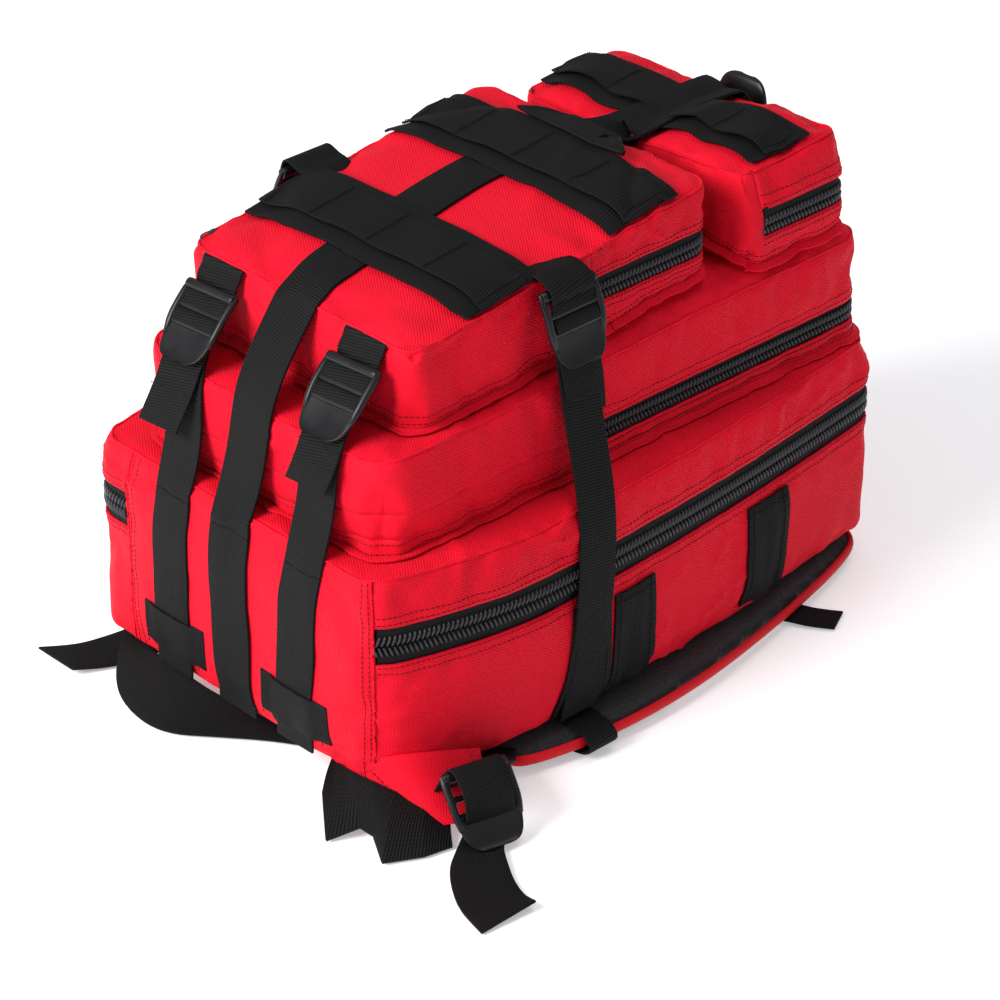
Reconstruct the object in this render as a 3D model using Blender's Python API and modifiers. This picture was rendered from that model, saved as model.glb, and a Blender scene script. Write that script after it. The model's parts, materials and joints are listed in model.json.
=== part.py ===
"""Trauma backpack: a clamshell pack with a second compartment and two zipped front pockets.

The pack lies on its back. The floor is Z = 0, +Y runs to the pack's top end (grab handle),
+Z runs out of the back towards the front pockets, and X = 0 is the middle of the back panel.
All lengths are in metres. Thin pieces are open surfaces given their thickness by Solidify.
"""
import math

import bmesh
import bpy
from mathutils import Matrix, Vector

# Driving dimensions
FABRIC = 0.0024          # padded pack cloth, thickness of the shells
WEB = 0.0020             # thickness of the webbing
WEB_WIDTH = 0.038        # strap webbing
GAP = 0.0004             # clear space between neighbouring pieces

BACK_Z = 0.0200          # underside of the back panel
MAIN_ZIP_Z = 0.1240      # plane of the main clamshell zip
MAIN_TOP_Z = 0.1640      # front face of the main compartment
SECOND_ZIP_Z = 0.1880    # plane of the second compartment's zip
SECOND_TOP_Z = 0.2320    # front face of the second compartment
POCKET_ZIP_Z = 0.2770    # plane of both pocket zips
HALF_LENGTH = 0.2265     # half the length of the main compartment

END_HALF_WIDTH = 0.1215  # main compartment, half width at its ends
SIDE_BULGE = 0.0290      # how far each side panel swells outside that
BULGE_Y = -0.100         # where the side swells most
BULGE_REACH_TOP = 0.330  # distance over which the swelling dies out, towards the top
BULGE_REACH_BOTTOM = {1: 0.135, -1: 0.210}  # right side, and the fuller left side

SECOND_HALF_WIDTH = 0.1120
SECOND_Y = (-0.2040, 0.2220)

LOWER_X = -0.0040        # middle of the lower pocket
LOWER_HALF = 0.1030
LOWER_Y = (-0.1670, 0.0870)
LOWER_FOLD_Y = -0.0200   # where the lower pocket's zip ends and its flap folds
LOWER_FACE_Z = (0.2860, 0.3150)  # height of its face at the bottom and top ends

UPPER_X = 0.0040
UPPER_HALF = 0.1050
UPPER_Y = (0.1120, 0.2040)
UPPER_FOLD_Y = 0.1240
UPPER_FACE_Z = (0.3040, 0.3060)

END_STRAP_Y = -HALF_LENGTH - GAP - WEB / 2          # webbing lying on the bottom end panel
PATCH_Y = END_STRAP_Y - WEB - GAP                   # sewn patches over that webbing
MAIN_HINGE_Y = END_STRAP_Y - WEB / 2                # outer face of the webbing: the fold line
SIDE_TAPE_OUT = 0.0011                              # zip tape's mid-surface outside the shell
SIDE_STRAP_X = END_HALF_WIDTH + SIDE_BULGE + 0.0032
SIDE_STRAP_Y = -0.0480
SIDE_STRAP_BASE_Z = 0.0780
PAD_Z = (0.0030, 0.0170)                            # shoulder pads, under the back panel
SHOULDER_ANCHOR = (0.0850, 0.2050)


def clear_scene():
    for old in list(bpy.data.objects):
        bpy.data.objects.remove(old, do_unlink=True)


def new_collection(name):
    collection = bpy.data.collections.new(name)
    bpy.context.scene.collection.children.link(collection)
    return collection


def new_material(name, color, roughness, metallic=0.0):
    material = bpy.data.materials.new(name)
    material.use_nodes = True
    shader = material.node_tree.nodes["Principled BSDF"]
    shader.inputs["Base Color"].default_value = (*color, 1.0)
    shader.inputs["Roughness"].default_value = roughness
    shader.inputs["Metallic"].default_value = metallic
    return material


clear_scene()
PARTS = new_collection("trauma_backpack")
RED = new_material("red_cloth", (0.62, 0.010, 0.022), 0.75)
BLACK_WEB = new_material("black_webbing", (0.012, 0.012, 0.014), 0.80)
BLACK_MESH = new_material("black_mesh", (0.020, 0.020, 0.022), 0.90)
ZIP_TAPE = new_material("zip_tape", (0.015, 0.015, 0.017), 0.55)
PLASTIC = new_material("black_plastic", (0.018, 0.018, 0.020), 0.35)
METAL = new_material("slider_metal", (0.030, 0.030, 0.032), 0.35, 0.8)
BOARD = new_material("frame_board", (0.10, 0.10, 0.11), 0.60)


def place_mesh(name, bm, material, thickness=None, origin=(0, 0, 0)):
    """Make one object from a bmesh given in world space, with its origin at `origin`."""
    bmesh.ops.remove_doubles(bm, verts=bm.verts, dist=1e-6)
    bmesh.ops.recalc_face_normals(bm, faces=bm.faces)
    bmesh.ops.translate(bm, verts=bm.verts, vec=-Vector(origin))
    mesh = bpy.data.meshes.new(name)
    bm.to_mesh(mesh)
    bm.free()
    mesh.materials.append(material)
    piece = bpy.data.objects.new(name, mesh)
    piece.location = origin
    PARTS.objects.link(piece)
    if thickness:
        solid = piece.modifiers.new("Thickness", "SOLIDIFY")
        solid.thickness = thickness
        solid.offset = 0.0
        solid.use_even_offset = True
    return piece


def strip(name, sections, material, thickness=WEB, origin=(0, 0, 0)):
    """A flat band through pairs of edge points, such as a length of webbing."""
    bm = bmesh.new()
    rows = [[bm.verts.new(point) for point in section] for section in sections]
    for before, after in zip(rows, rows[1:]):
        for k in range(len(before) - 1):
            bm.faces.new((before[k], before[k + 1], after[k + 1], after[k]))
    return place_mesh(name, bm, material, thickness, origin)


def webbing(name, path, across=(1, 0, 0), width=WEB_WIDTH, origin=(0, 0, 0)):
    """Webbing that follows `path` and keeps its width along one direction."""
    half = Vector(across).normalized() * width / 2
    sections = [(Vector(point) - half, Vector(point) + half) for point in path]
    return strip(name, sections, BLACK_WEB, WEB, origin)


def floor_webbing(name, path, width=WEB_WIDTH, origin=(0, 0, 0)):
    """Webbing that lies flat and bends in plan: its width is square to its run."""
    points = [Vector(point) for point in path]
    sections = []
    for k, point in enumerate(points):
        run = points[min(k + 1, len(points) - 1)] - points[max(k - 1, 0)]
        half = Vector((-run.y, run.x, 0)).normalized() * width / 2
        sections.append((point - half, point + half))
    return strip(name, sections, BLACK_WEB, WEB, origin)


def flat_plate(name, outline, z_range, material, origin=(0, 0, 0)):
    """A plate of constant thickness whose outline is given in plan."""
    bm = bmesh.new()
    middle = sum(z_range) / 2
    bm.faces.new([bm.verts.new((x, y, middle)) for x, y in outline])
    return place_mesh(name, bm, material, z_range[1] - z_range[0], origin)


def rounded_corner(cx, cy, radius, start_deg, steps=3):
    """Points of a quarter circle, counter-clockwise from start_deg."""
    points = []
    for k in range(steps + 1):
        angle = math.radians(start_deg + 90 * k / steps)
        points.append((cx + radius * math.cos(angle), cy + radius * math.sin(angle)))
    return points


def half_width(y, side=1):
    """Half width of the main compartment's cloth at a place along the pack, right (1) or left (-1)."""
    reach = BULGE_REACH_TOP if y > BULGE_Y else BULGE_REACH_BOTTOM[side]
    return END_HALF_WIDTH + SIDE_BULGE * math.cos(math.pi / 2 * (y - BULGE_Y) / reach)


def side_line(outside, side, steps=14):
    """A side panel in plan, bottom to top, `outside` beyond the cloth."""
    length = HALF_LENGTH + outside
    ys = [-length + 2 * length * k / steps for k in range(steps + 1)]
    inner = [max(-HALF_LENGTH, min(HALF_LENGTH, y)) for y in ys]
    return [(side * (half_width(near, side) + outside), y) for near, y in zip(inner, ys)]


def main_outline(outside):
    return side_line(outside, 1) + side_line(outside, -1)[::-1]


def box_outline(cx, half, y_range, radius):
    """A rounded rectangle in plan, counter-clockwise from its bottom right corner."""
    y0, y1 = y_range
    right, left = cx + half - radius, cx - half + radius
    low, high = y0 + radius, y1 - radius
    return (rounded_corner(right, low, radius, 270) + rounded_corner(right, high, radius, 0)
            + rounded_corner(left, high, radius, 90) + rounded_corner(left, low, radius, 180))


def tray(name, outline, z_floor, z_rim, material=RED, thickness=FABRIC):
    """A floor and a wall all round it. The floor may be above or below the rim."""
    bm = bmesh.new()
    floor = [bm.verts.new((x, y, z_floor)) for x, y in outline]
    rim = [bm.verts.new((x, y, z_rim)) for x, y in outline]
    bm.faces.new(floor)
    for k in range(len(outline)):
        nxt = (k + 1) % len(outline)
        bm.faces.new((floor[k], floor[nxt], rim[nxt], rim[k]))
    return place_mesh(name, bm, material, thickness)


def split_outline(outline, y_fold):
    """Cut a convex outline at y_fold: the run below it and the run above it."""
    count = len(outline)
    cuts = []
    for k in range(count):
        (xa, ya), (xb, yb) = outline[k], outline[(k + 1) % count]
        if (ya - y_fold) * (yb - y_fold) < 0:
            share = (y_fold - ya) / (yb - ya)
            cuts.append((k, (xa + share * (xb - xa), y_fold)))
    (k_right, right), (k_left, left) = cuts
    above = [right] + outline[k_right + 1:k_left + 1] + [left]
    below = [left] + outline[k_left + 1:] + outline[:k_right + 1] + [right]
    return below, above


def wall_between(bm, low, high):
    for k in range(len(low) - 1):
        bm.faces.new((low[k], low[k + 1], high[k + 1], high[k]))


def pocket(name, flap_name, outline, y_fold, face_z, flap_origin):
    """A zipped pocket: side wall and fixed face, and the flap above its zip."""
    y_low = min(y for _, y in outline)
    y_high = max(y for _, y in outline)
    slope = (face_z[1] - face_z[0]) / (y_high - y_low)

    def face_height(y):
        return face_z[0] + slope * (y - y_low)

    base_z = SECOND_TOP_Z + GAP
    below, above = split_outline(outline, y_fold - GAP)
    bm = bmesh.new()
    ring = below + above[1:-1]
    foot = [bm.verts.new((x, y, base_z)) for x, y in ring]
    at_zip = [bm.verts.new((x, y, POCKET_ZIP_Z - GAP)) for x, y in ring]
    wall_between(bm, foot + foot[:1], at_zip + at_zip[:1])
    face = [bm.verts.new((x, y, face_height(y))) for x, y in below]
    wall_between(bm, at_zip[:len(below)], face)
    bm.faces.new(face)
    place_mesh(name, bm, RED, FABRIC)

    _, above = split_outline(outline, y_fold + GAP)
    bm = bmesh.new()
    hem = [bm.verts.new((x, y, POCKET_ZIP_Z + GAP)) for x, y in above]
    face = [bm.verts.new((x, y, face_height(y))) for x, y in above]
    wall_between(bm, hem, face)
    bm.faces.new(face)
    place_mesh(flap_name, bm, RED, FABRIC, flap_origin)
    return face_height


def ladder_lock(name, origin, turn):
    """A two-slot webbing adjuster. Its top bar is at its origin and it hangs along -Y."""
    half = 0.0240
    side = 0.0045
    bars = (0.0030, -0.0030, -0.0155, -0.0215, -0.0340, -0.0420)
    sag = (0.0, 0.0, 0.0020, 0.0030, 0.0020, 0.0)
    bm = bmesh.new()
    columns = (-half, -half + side, half - side, half)
    grid = [[bm.verts.new((x, y, z)) for x in columns] for y, z in zip(bars, sag)]
    for row in range(len(bars) - 1):
        for column in range(3):
            is_slot = column == 1 and row in (1, 3)
            if not is_slot:
                corners = (grid[row][column], grid[row][column + 1],
                           grid[row + 1][column + 1], grid[row + 1][column])
                bm.faces.new(corners)
    bmesh.ops.transform(bm, matrix=Matrix.Translation(origin) @ turn, verts=bm.verts)
    return place_mesh(name, bm, PLASTIC, 0.0026, origin)


def slider(name, place, outward):
    """A zip slider's body, standing off the tape along `outward`."""
    size = Vector((0.0100, 0.0042, 0.0080))
    bm = bmesh.new()
    bmesh.ops.create_cube(bm, size=1.0)
    bmesh.ops.scale(bm, vec=size, verts=bm.verts)
    centre = Vector(place) + Vector(outward) * size.y / 2
    bmesh.ops.translate(bm, verts=bm.verts, vec=centre)
    piece = place_mesh(name, bm, METAL, origin=tuple(centre))
    bevel = piece.modifiers.new("Rounded", "BEVEL")
    bevel.width = 0.0012
    bevel.segments = 2
    return piece


def pull_tab(name, place, outward, along):
    """A pull tab: a tapered plate that hangs on its slider's bridge."""
    out = Vector(outward)
    run = Vector(along)
    stand_off = 0.0042 + GAP + 0.0008
    root = Vector(place) + out * stand_off
    sections = []
    for reach, half in ((0.0, 0.0020), (0.0040, 0.0030), (0.0260, 0.0040), (0.0300, 0.0025)):
        middle = root + run * reach
        sections.append((middle - Vector((0, 0, half)), middle + Vector((0, 0, half))))
    return strip(name, sections, METAL, 0.0014, tuple(root))


def side_points(path, sign):
    """A right-hand path, or its mirror image on the left."""
    return [(sign * x, y, z) for x, y, z in path]


# Main compartment, rear half: back panel, side wall and what is sewn to it
wall = FABRIC / 2
tray("main_rear_shell", main_outline(-wall), BACK_Z + wall, MAIN_ZIP_Z - GAP)
tray("main_front_shell", main_outline(-wall), MAIN_TOP_Z - wall, MAIN_ZIP_Z + GAP)


def main_zip_tape(name, z_low, z_high):
    """The zip tape sewn round the two sides and the top end, from corner to corner."""
    run = side_line(SIDE_TAPE_OUT, 1)[1:] + side_line(SIDE_TAPE_OUT, -1)[:0:-1]
    sections = [((x, y, z_low), (x, y, z_high)) for x, y in run]
    strip(name, sections, ZIP_TAPE, 0.0012)


TAPE_WIDTH = 0.0150
main_zip_tape("main_zip_rear", MAIN_ZIP_Z - TAPE_WIDTH, MAIN_ZIP_Z - GAP)
main_zip_tape("main_zip_front", MAIN_ZIP_Z + GAP, MAIN_ZIP_Z + TAPE_WIDTH)

BOARD_Z = (BACK_Z + FABRIC + GAP, BACK_Z + FABRIC + GAP + 0.0015)
flat_plate("frame_sheet", box_outline(0, 0.112, (-0.212, 0.212), 0.02), BOARD_Z, BOARD)


def inner_sleeve():
    """The flat sleeve inside the back panel, open towards the top end."""
    z_foot = BOARD_Z[1] + GAP
    z_face = z_foot + 0.0090
    outline = box_outline(0, 0.100, (-0.205, 0.150), 0.015)
    below, _ = split_outline(outline, 0.090)
    bm = bmesh.new()
    foot = [bm.verts.new((x, y, z_foot)) for x, y in below]
    face = [bm.verts.new((x, y, z_face)) for x, y in below]
    wall_between(bm, foot, face)
    bm.faces.new(face)
    place_mesh("inner_sleeve", bm, BLACK_MESH, 0.0016)


inner_sleeve()

PAD_OUTLINE = ((-0.070, -0.185), (0.070, -0.185), (0.074, -0.160), (0.074, 0.040), (0.040, 0.110),
               (0.040, 0.200), (-0.040, 0.200), (-0.040, 0.110), (-0.074, 0.040), (-0.074, -0.160))
flat_plate("back_pad", PAD_OUTLINE, (0.0, BACK_Z - GAP), BLACK_MESH)

# Webbing on the bottom end panel: parted at the clamshell's fold, Z = MAIN_ZIP_Z
STRAP_LEAN = -0.072      # the two buckled straps lean this far to -X for each unit of height
BOTTOM_STRAPS = {"left": -0.0550, "right": 0.0750}
BOTTOM_LOCK_Z = 0.2675   # top bars of the two locks at the lower pocket's bottom end
SIDE_LOCK_Z = 0.2920     # and of the two beside it
BOTTOM_LOCK_LEAN = 39.0  # degrees they lean out, over the second compartment's edge
SIDE_LOCK_LEAN = 15.0


def bottom_strap_x(side, z):
    return BOTTOM_STRAPS[side] + STRAP_LEAN * (z - 0.030)


def end_strap_path(x_at, z_low, z_high):
    return [(x_at(z_low), END_STRAP_Y, z_low), (x_at(z_high), END_STRAP_Y, z_high)]


webbing("centre_strap_lower", end_strap_path(lambda z: 0.0, BACK_Z + 0.002, MAIN_ZIP_Z - GAP))
BRIDGE = ((END_STRAP_Y, MAIN_ZIP_Z + GAP), (END_STRAP_Y, MAIN_TOP_Z + 0.002), (-0.2090, 0.2100))
LOWER_FRONT_Y = LOWER_Y[0] - 0.0020
webbing("centre_strap_mid", [(0.0, y, z) for y, z in BRIDGE]
        + [(0.0, -0.2065, 0.2350), (0.0, LOWER_FRONT_Y - 0.0020, 0.2800)])
for side in BOTTOM_STRAPS:
    webbing(f"bottom_strap_{side}_lower",
            end_strap_path(lambda z: bottom_strap_x(side, z), BACK_Z + 0.008, MAIN_ZIP_Z - GAP))
    webbing(f"bottom_strap_{side}_upper",
            [(bottom_strap_x(side, z), y, z) for y, z in BRIDGE])
    patch_x = bottom_strap_x(side, 0.049)
    webbing(f"strap_patch_{side}", [(patch_x, PATCH_Y, 0.033), (patch_x, PATCH_Y, 0.066)],
            width=0.060)

# Second compartment: lower wall on the main front, cover above the zip
second_outline = box_outline(0.0, SECOND_HALF_WIDTH - wall,
                             (SECOND_Y[0] + wall, SECOND_Y[1] - wall), 0.022)
ring_sections = [((x, y, MAIN_TOP_Z + GAP), (x, y, SECOND_ZIP_Z - GAP))
                 for x, y in second_outline + second_outline[:1]]
strip("second_gusset", ring_sections, RED, FABRIC)
tray("second_cover_shell", second_outline, SECOND_TOP_Z - wall, SECOND_ZIP_Z + GAP)


def second_zip_tape():
    """The zip tape round the top half of the second compartment, on its cover."""
    outside = box_outline(0.0, SECOND_HALF_WIDTH + SIDE_TAPE_OUT,
                          (SECOND_Y[0], SECOND_Y[1] + SIDE_TAPE_OUT), 0.0232)
    _, above = split_outline(outside, LOWER_FOLD_Y)
    tape_z = (SECOND_ZIP_Z + GAP, SECOND_ZIP_Z + 0.013)
    strip("second_zip", [[(x, y, z) for z in tape_z] for x, y in above], ZIP_TAPE, 0.0012)


second_zip_tape()

# Front pockets
lower_outline = box_outline(LOWER_X, LOWER_HALF - wall, (LOWER_Y[0] + wall, LOWER_Y[1] - wall), 0.016)
upper_outline = box_outline(UPPER_X, UPPER_HALF - wall, (UPPER_Y[0] + wall, UPPER_Y[1] - wall), 0.012)
LOWER_HINGE = (0.0, LOWER_FOLD_Y, 0.3080)
UPPER_HINGE = (0.0, UPPER_FOLD_Y, 0.3100)
lower_face = pocket("lower_pocket_shell", "lower_flap_shell", lower_outline, LOWER_FOLD_Y,
                    LOWER_FACE_Z, LOWER_HINGE)
upper_face = pocket("upper_pocket_shell", "upper_flap_shell", upper_outline, UPPER_FOLD_Y,
                    UPPER_FACE_Z, UPPER_HINGE)


def on_face(face, y, layer):
    """Height of a layer of webbing lying on a pocket's face (1 = on the cloth)."""
    return face(y) + wall + (layer - 0.5) * WEB + layer * GAP


FACE_EDGE_Y = LOWER_Y[0] + 0.004
webbing("centre_strap_face", [(0, y, on_face(lower_face, y, 1)) for y in (FACE_EDGE_Y, -0.0210)])


def yoke():
    """The centre strap's upper end: a band that widens to a trapezoid at the flap's top."""
    bm = bmesh.new()
    outline = ((-0.019, -0.019), (0.019, -0.019), (0.019, 0.0590), (0.038, 0.0590), (0.038, 0.0640),
               (0.014, 0.0840), (-0.014, 0.0840), (-0.038, 0.0640), (-0.038, 0.0590), (-0.019, 0.0590))
    bm.faces.new([bm.verts.new((x, y, on_face(lower_face, y, 1))) for x, y in outline])
    place_mesh("centre_strap_yoke", bm, BLACK_WEB, WEB, LOWER_HINGE)


yoke()


def molle_row(name, face, y_range, cx, half, layer, origin=(0, 0, 0)):
    sections = []
    for y in y_range:
        z = on_face(face, y, layer)
        sections.append(((cx - half, y, z), (cx + half, y, z)))
    strip(name, sections, BLACK_WEB, WEB, origin)


molle_row("molle_row_1", lower_face, (-0.122, -0.062), LOWER_X, 0.098, 2)
molle_row("molle_row_2", lower_face, (-0.002, 0.057), LOWER_X, 0.098, 2, LOWER_HINGE)
molle_row("molle_row_3", upper_face, (0.128, 0.178), UPPER_X, 0.098, 1, UPPER_HINGE)

YOKE_HINGE = (0.0, 0.0850, 0.3215)
YOKE_TIP_Z = 0.3160
webbing("yoke_strap", [(0, 0.0855, 0.3195), (0, 0.1150, YOKE_TIP_Z), (0, 0.2080, YOKE_TIP_Z)],
        width=0.030, origin=YOKE_HINGE)

# Ladder locks. `turn` carries the lock's own frame to where it hangs.
BOTTOM_LOCK_OUT = 0.0100  # top bars stand this far off the lower pocket
SIDE_LOCK_OUT = 0.0080
LOCK_Y = LOWER_Y[0] - BOTTOM_LOCK_OUT
bottom_hang = Matrix.Rotation(math.radians(90 - BOTTOM_LOCK_LEAN), 4, "X")
side_hang = Matrix.Rotation(math.radians(90 - SIDE_LOCK_LEAN), 4, "X")
skew = Matrix.Rotation(math.atan(-STRAP_LEAN), 4, "Y")
for side in BOTTOM_STRAPS:
    place = (bottom_strap_x(side, BOTTOM_LOCK_Z), LOCK_Y, BOTTOM_LOCK_Z)
    ladder_lock(f"bottom_lock_{side}", place, skew.inverted() @ bottom_hang)
for side, sign in (("right", 1), ("left", -1)):
    x_wall = LOWER_X + sign * (LOWER_HALF + SIDE_LOCK_OUT)
    facing = Matrix.Rotation(math.radians(90 * sign), 4, "Z")
    ladder_lock(f"side_lock_{side}", (x_wall, SIDE_STRAP_Y, SIDE_LOCK_Z), facing @ side_hang)
TOP_LOCK = (0.0, 0.2160, 0.2650)
ladder_lock("top_lock", TOP_LOCK, Matrix.Rotation(math.radians(-90), 4, "X"))

# Side compression straps, their sewn feet and the webbing patches on the side panels
for side, sign in (("right", 1), ("left", -1)):
    foot_x = SIDE_STRAP_X - 0.0011
    foot = [(-0.092, 0.024), (-0.066, 0.075), (0.020, 0.075), (0.020, 0.024)]
    bm = bmesh.new()
    bm.faces.new([bm.verts.new((sign * foot_x, y, z)) for y, z in foot])
    place_mesh(f"side_strap_anchor_{side}", bm, BLACK_WEB, WEB)
    path = ((SIDE_STRAP_X, SIDE_STRAP_Y, SIDE_STRAP_BASE_Z + GAP), (SIDE_STRAP_X, SIDE_STRAP_Y, 0.166),
            (SIDE_STRAP_X - 0.004, SIDE_STRAP_Y, 0.182), (SIDE_STRAP_X - 0.026, SIDE_STRAP_Y, 0.236))
    webbing(f"side_strap_{side}", side_points(path, sign), across=(0, 1, 0), width=0.035,
            origin=(sign * SIDE_STRAP_X, SIDE_STRAP_Y, SIDE_STRAP_BASE_Z))
    patch_out = half_width(0.107) + 0.0016
    ends = [(sign * patch_out, 0.132, 0.024), (sign * patch_out, 0.132, 0.086)]
    webbing(f"side_molle_{side}", ends, across=(0, 1, 0), width=0.050)

# Zip sliders and their pull tabs, all on the top ends
END_Y = HALF_LENGTH + SIDE_TAPE_OUT + 0.0006 + GAP
SLIDERS = {
    "main_slider_right": ((0.0075, END_Y, MAIN_ZIP_Z - 0.006), 1),
    "main_slider_left": ((-0.0075, END_Y, MAIN_ZIP_Z - 0.006), -1),
    "second_slider": ((0.0200, SECOND_Y[1] + 0.0021, SECOND_ZIP_Z - 0.006), 1),
    "lower_slider": ((0.0300, LOWER_Y[1] + GAP, POCKET_ZIP_Z - 0.006), 1),
    "upper_slider": ((0.0420, UPPER_Y[1] + GAP, POCKET_ZIP_Z - 0.006), 1),
}
for name, (place, way) in SLIDERS.items():
    slider(name, place, (0, 1, 0))
    pull_tab(name.replace("slider", "pull"), place, (0, 1, 0), (way, 0, 0))


def grab_handle():
    """A webbing loop on the top end panel, standing up from its two sewn feet."""
    y = HALF_LENGTH + 0.0052
    reach, rise, leg = 0.105, 0.054, 0.025
    foot_z = 0.038
    outline = ((-reach, foot_z), (-reach + leg, foot_z), (-reach + leg + 0.008, foot_z + rise - leg),
               (reach - leg - 0.008, foot_z + rise - leg), (reach - leg, foot_z), (reach, foot_z),
               (reach, foot_z + rise - 0.012), (reach - 0.012, foot_z + rise),
               (-reach + 0.012, foot_z + rise), (-reach, foot_z + rise - 0.012))
    bm = bmesh.new()
    bm.faces.new([bm.verts.new((x, y, z)) for x, z in outline])
    place_mesh("grab_handle", bm, BLACK_WEB, 0.0040, (0.0, y, foot_z))


grab_handle()

# Shoulder harness, folded flat under the back panel
PAD_LINE = ((0.085, 0.222), (0.096, 0.190), (0.112, 0.120), (0.130, 0.020), (0.132, -0.060),
            (0.124, -0.120), (0.120, -0.138))
PAD_WIDTHS = (0.060, 0.070, 0.074, 0.074, 0.074, 0.070, 0.056)
right_edge = [(x + w / 2, y) for (x, y), w in zip(PAD_LINE, PAD_WIDTHS)]
left_edge = [(x - w / 2, y) for (x, y), w in zip(PAD_LINE, PAD_WIDTHS)]
WING = ((0.088, -0.146), (0.142, -0.146), (0.158, -0.176), (0.158, -0.206), (0.120, -0.218),
        (0.088, -0.218))
LEFT_WING = ((0.088, -0.146), (0.130, -0.146), (0.136, -0.176), (0.128, -0.206), (0.088, -0.212))
TAILS = {"right": ((0.2030, -0.1960, 0.0030), (0.2150, -0.2120, 0.0012), (0.2380, -0.2280, 0.0012),
                   (0.2580, -0.2370, 0.0012)),
         "left": ((-0.1210, -0.1950, 0.0050), (-0.1250, -0.2120, 0.0030), (-0.1320, -0.2350, 0.0012),
                  (-0.1430, -0.2600, 0.0012))}
TAIL_ACROSS = {"right": (0.10, 0.99, 0), "left": (1, 0, 0)}
# The right lock stands on the floor beside the pack; the left one lies flat under it
STANDING = Matrix.Rotation(math.radians(77), 4, "Z") @ Matrix.Rotation(math.radians(55), 4, "X")
SHOULDER_LOCKS = {"right": ((0.1725, -0.1880, 0.0395), STANDING),
                  "left": ((-0.1220, -0.1480, 0.0075), Matrix.Rotation(math.radians(4), 4, "Z"))}
WINGS = {"right": WING, "left": LEFT_WING}
for side, sign in (("right", 1), ("left", -1)):
    anchor = (sign * SHOULDER_ANCHOR[0], SHOULDER_ANCHOR[1], sum(PAD_Z) / 2)
    pad = [(sign * x, y) for x, y in right_edge + left_edge[::-1]]
    flat_plate(f"shoulder_pad_{side}", pad, PAD_Z, BLACK_MESH, anchor)
    wing = [(sign * x, y) for x, y in WINGS[side]]
    flat_plate(f"strap_wing_{side}", wing, (0.0130, BACK_Z - GAP), RED)
    ladder_lock(f"shoulder_lock_{side}", *SHOULDER_LOCKS[side])
    webbing(f"shoulder_tail_{side}", TAILS[side], across=TAIL_ACROSS[side], origin=anchor)

# Waist belt webbing on the floor
HIP_LEFT = [(0.055 - 0.150 * k / 8, -0.2250 - 0.0350 * math.sin(math.pi * k / 8), 0.0012)
            for k in range(9)]
floor_webbing("hip_belt_left", HIP_LEFT, width=0.030, origin=HIP_LEFT[-1])
HIP_RIGHT = ((0.092, -0.2380, 0.020), (0.104, -0.2520, 0.020), (0.124, -0.2580, 0.020),
             (0.146, -0.2540, 0.020), (0.154, -0.2420, 0.020))
webbing("hip_belt_right", HIP_RIGHT, across=(0, 0, 1), width=0.036, origin=HIP_RIGHT[0])

for piece in PARTS.objects:
    piece.data.shade_flat()
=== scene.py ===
import json
import math

import bmesh
import bpy
import numpy as np
from mathutils import Matrix, Vector, noise
from mathutils.bvhtree import BVHTree


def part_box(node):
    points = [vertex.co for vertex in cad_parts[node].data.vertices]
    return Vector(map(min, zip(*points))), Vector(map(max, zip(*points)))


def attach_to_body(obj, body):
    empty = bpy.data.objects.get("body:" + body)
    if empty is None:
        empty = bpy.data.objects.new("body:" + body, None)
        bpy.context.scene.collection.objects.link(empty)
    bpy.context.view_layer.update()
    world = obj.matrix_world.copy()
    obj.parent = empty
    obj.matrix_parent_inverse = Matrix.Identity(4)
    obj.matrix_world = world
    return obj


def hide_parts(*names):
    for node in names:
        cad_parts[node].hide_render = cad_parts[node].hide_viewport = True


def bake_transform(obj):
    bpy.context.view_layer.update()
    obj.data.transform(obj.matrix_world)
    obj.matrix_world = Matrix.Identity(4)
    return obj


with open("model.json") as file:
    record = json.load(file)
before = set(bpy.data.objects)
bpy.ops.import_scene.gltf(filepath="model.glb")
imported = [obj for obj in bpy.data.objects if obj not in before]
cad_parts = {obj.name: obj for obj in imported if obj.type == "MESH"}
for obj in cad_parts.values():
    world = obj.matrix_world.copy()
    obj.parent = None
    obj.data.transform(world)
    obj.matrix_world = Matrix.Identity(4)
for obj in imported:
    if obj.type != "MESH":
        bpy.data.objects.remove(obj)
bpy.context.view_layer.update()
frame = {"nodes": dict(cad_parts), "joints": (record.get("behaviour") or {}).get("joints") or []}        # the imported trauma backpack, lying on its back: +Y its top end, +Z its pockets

SCENE = bpy.context.scene
JOINTS = {joint["name"]: joint for joint in frame["joints"]}


def pivot(joint):
    return Vector(JOINTS[joint]["pos_m"])


def low(node):
    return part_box(node)[0]


def high(node):
    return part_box(node)[1]


# Planes and outlines of the compartments, from the frame
MAIN_LOW, MAIN_HIGH = low("main_rear_shell"), high("main_front_shell")
MAIN_ZIP = pivot("main_open").z
SECOND_LOW, SECOND_HIGH = low("second_gusset"), high("second_cover_shell")
SECOND_ZIP = high("second_gusset").z
LOWER_LOW, LOWER_HIGH = low("lower_pocket_shell"), high("lower_flap_shell")
UPPER_LOW, UPPER_HIGH = low("upper_pocket_shell"), high("upper_flap_shell")
POCKET_ZIP = low("lower_flap_shell").z
LOWER_FOLD = pivot("lower_flap_open").y
UPPER_FOLD = pivot("upper_flap_open").y
BODY_END = 0.1215        # half width of the main compartment at its two ends
BULGE_PEAK_Y = -0.100    # where its side panels swell most
CLOTH_THICKNESS = 0.0016
STITCH, STITCH_GAP = 0.0027, 0.0008
LEFT_SEAM = -0.0905      # the bottom panel's left seam, before the left corner's swelling


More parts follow.
